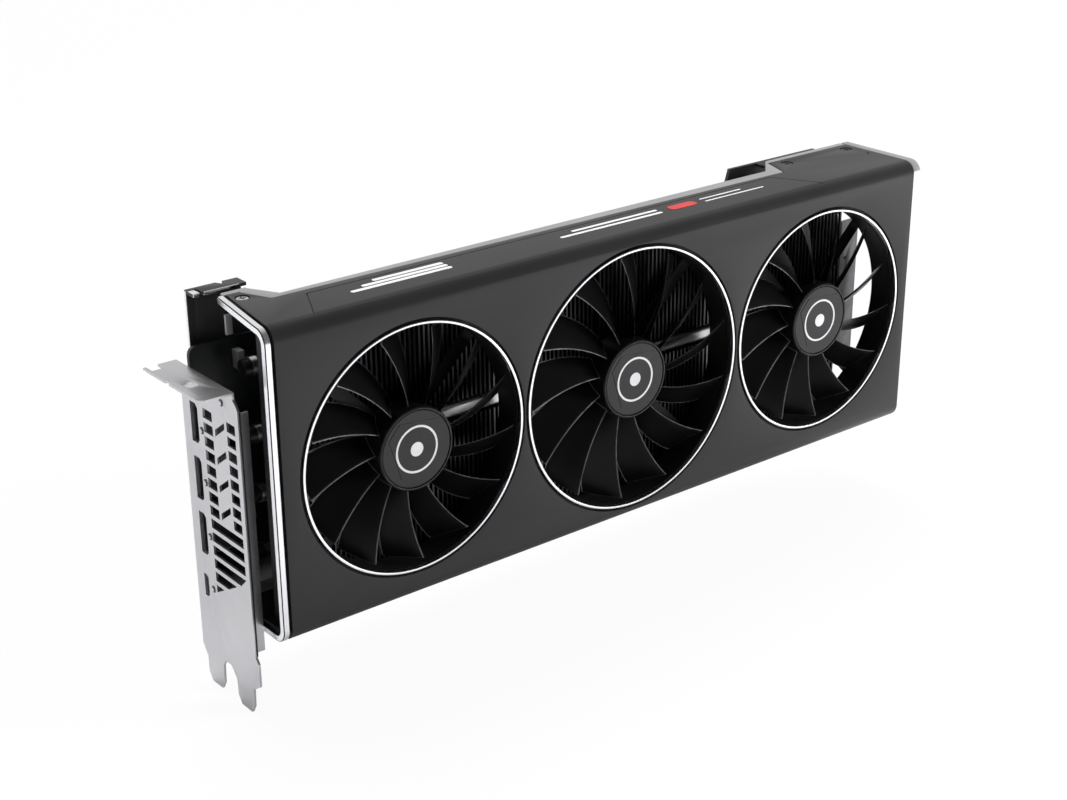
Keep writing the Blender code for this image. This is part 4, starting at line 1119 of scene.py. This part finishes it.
# %% Floor
PLAIN_SHARE = 0.93  # how much of the floor's look in the lens is even white
FLOOR_REACH = 6000.0


def paper_finish():
    """Pale paper that looks evenly lit to the lens and lights the card as plain paper does."""
    made = look("studio paper", 0.84, 0.88, (0.8, 0.9), 0.0, 2.0, 400, 0.02)
    tree = made.node_tree
    glow = add_node(tree, "ShaderNodeEmission", Color=(1, 1, 1, 1), Strength=1.0)
    path = tree.nodes.new("ShaderNodeLightPath")
    share = maths(tree, "MULTIPLY", path.outputs["Is Camera Ray"], PLAIN_SHARE)
    mix = add_node(tree, "ShaderNodeMixShader",
                   {0: share, 1: tree.nodes["Principled BSDF"].outputs[0], 2: glow.outputs[0]})
    wire(tree, mix.outputs[0], tree.nodes["Material Output"].inputs["Surface"])
    return made


ground = cad_box[0].z / MM
paper = block(about(0, FLOOR_REACH), about(0, FLOOR_REACH), (ground - 6.0, ground - 0.2))
build("studio_floor", paper, paper_finish())

# %% World: brighter towards the rear, plain white to the lens
scene.view_settings.view_transform = "Standard"
world = bpy.data.worlds.new("studio")
world.use_nodes = True
room = world.node_tree
ceiling = room.nodes.new("ShaderNodeTexCoord")
split = add_node(room, "ShaderNodeSeparateXYZ", {0: ceiling.outputs["Generated"]})
path = room.nodes.new("ShaderNodeLightPath")
seen = add_node(room, "ShaderNodeMix", {0: path.outputs["Is Camera Ray"], 3: 1.0,
                                        2: remap(room, split.outputs["Y"], 0.14, 0.8, -0.3, 0.6)})
backdrop = room.nodes["Background"].inputs
backdrop["Color"].default_value = (1, 1, 1, 1)
wire(room, seen.outputs[0], backdrop["Strength"])
scene.world = world


# %% Lights: a soft sky overhead and a panel on the side that the front faces
def add_light(name, kind, power, **values):
    data = bpy.data.lights.new(name, kind)
    data.energy = power
    for key, value in values.items():
        setattr(data, key, value)
    item = bpy.data.objects.new(name, data)
    scene.collection.objects.link(item)
    item.visible_glossy = False
    return item


sky = add_light("soft_sky", "SUN", 2.0, angle=math.radians(40))
sky.rotation_euler = (math.radians(-20), math.radians(6), 0)
panel = add_light("front_right", "AREA", 16, shape="RECTANGLE", size=0.5, size_y=0.6)
PANEL_PLACE, PANEL_AIM = Vector((0.95, -0.75, 0.5)), Vector((0.25, -0.1, 0.02))
panel.location = PANEL_PLACE
panel.rotation_euler = (PANEL_AIM - PANEL_PLACE).to_track_quat("-Z", "Y").to_euler()

# %% Camera
AZIMUTH, ELEVATION, ROLL = (math.radians(a) for a in (-38.549, 22.692, -0.427))
CAMERA_PLACE = (-0.35985, -0.51505, 0.32683)
camera_data = bpy.data.cameras.new("camera")
camera_data.lens = 61.89
camera_data.sensor_width = 36.0
camera = bpy.data.objects.new("camera", camera_data)
scene.collection.objects.link(camera)
back = Vector((math.sin(AZIMUTH) * math.cos(ELEVATION), -math.cos(AZIMUTH) * math.cos(ELEVATION),
               math.sin(ELEVATION)))
right = Vector((math.cos(AZIMUTH), math.sin(AZIMUTH), 0))
up = back.cross(right)
view = Matrix((right * math.cos(ROLL) + up * math.sin(ROLL), up * math.cos(ROLL) - right * math.sin(ROLL),
               back)).transposed().to_4x4()
view.translation = Vector(CAMERA_PLACE)
camera.matrix_world = view
scene.camera = camera
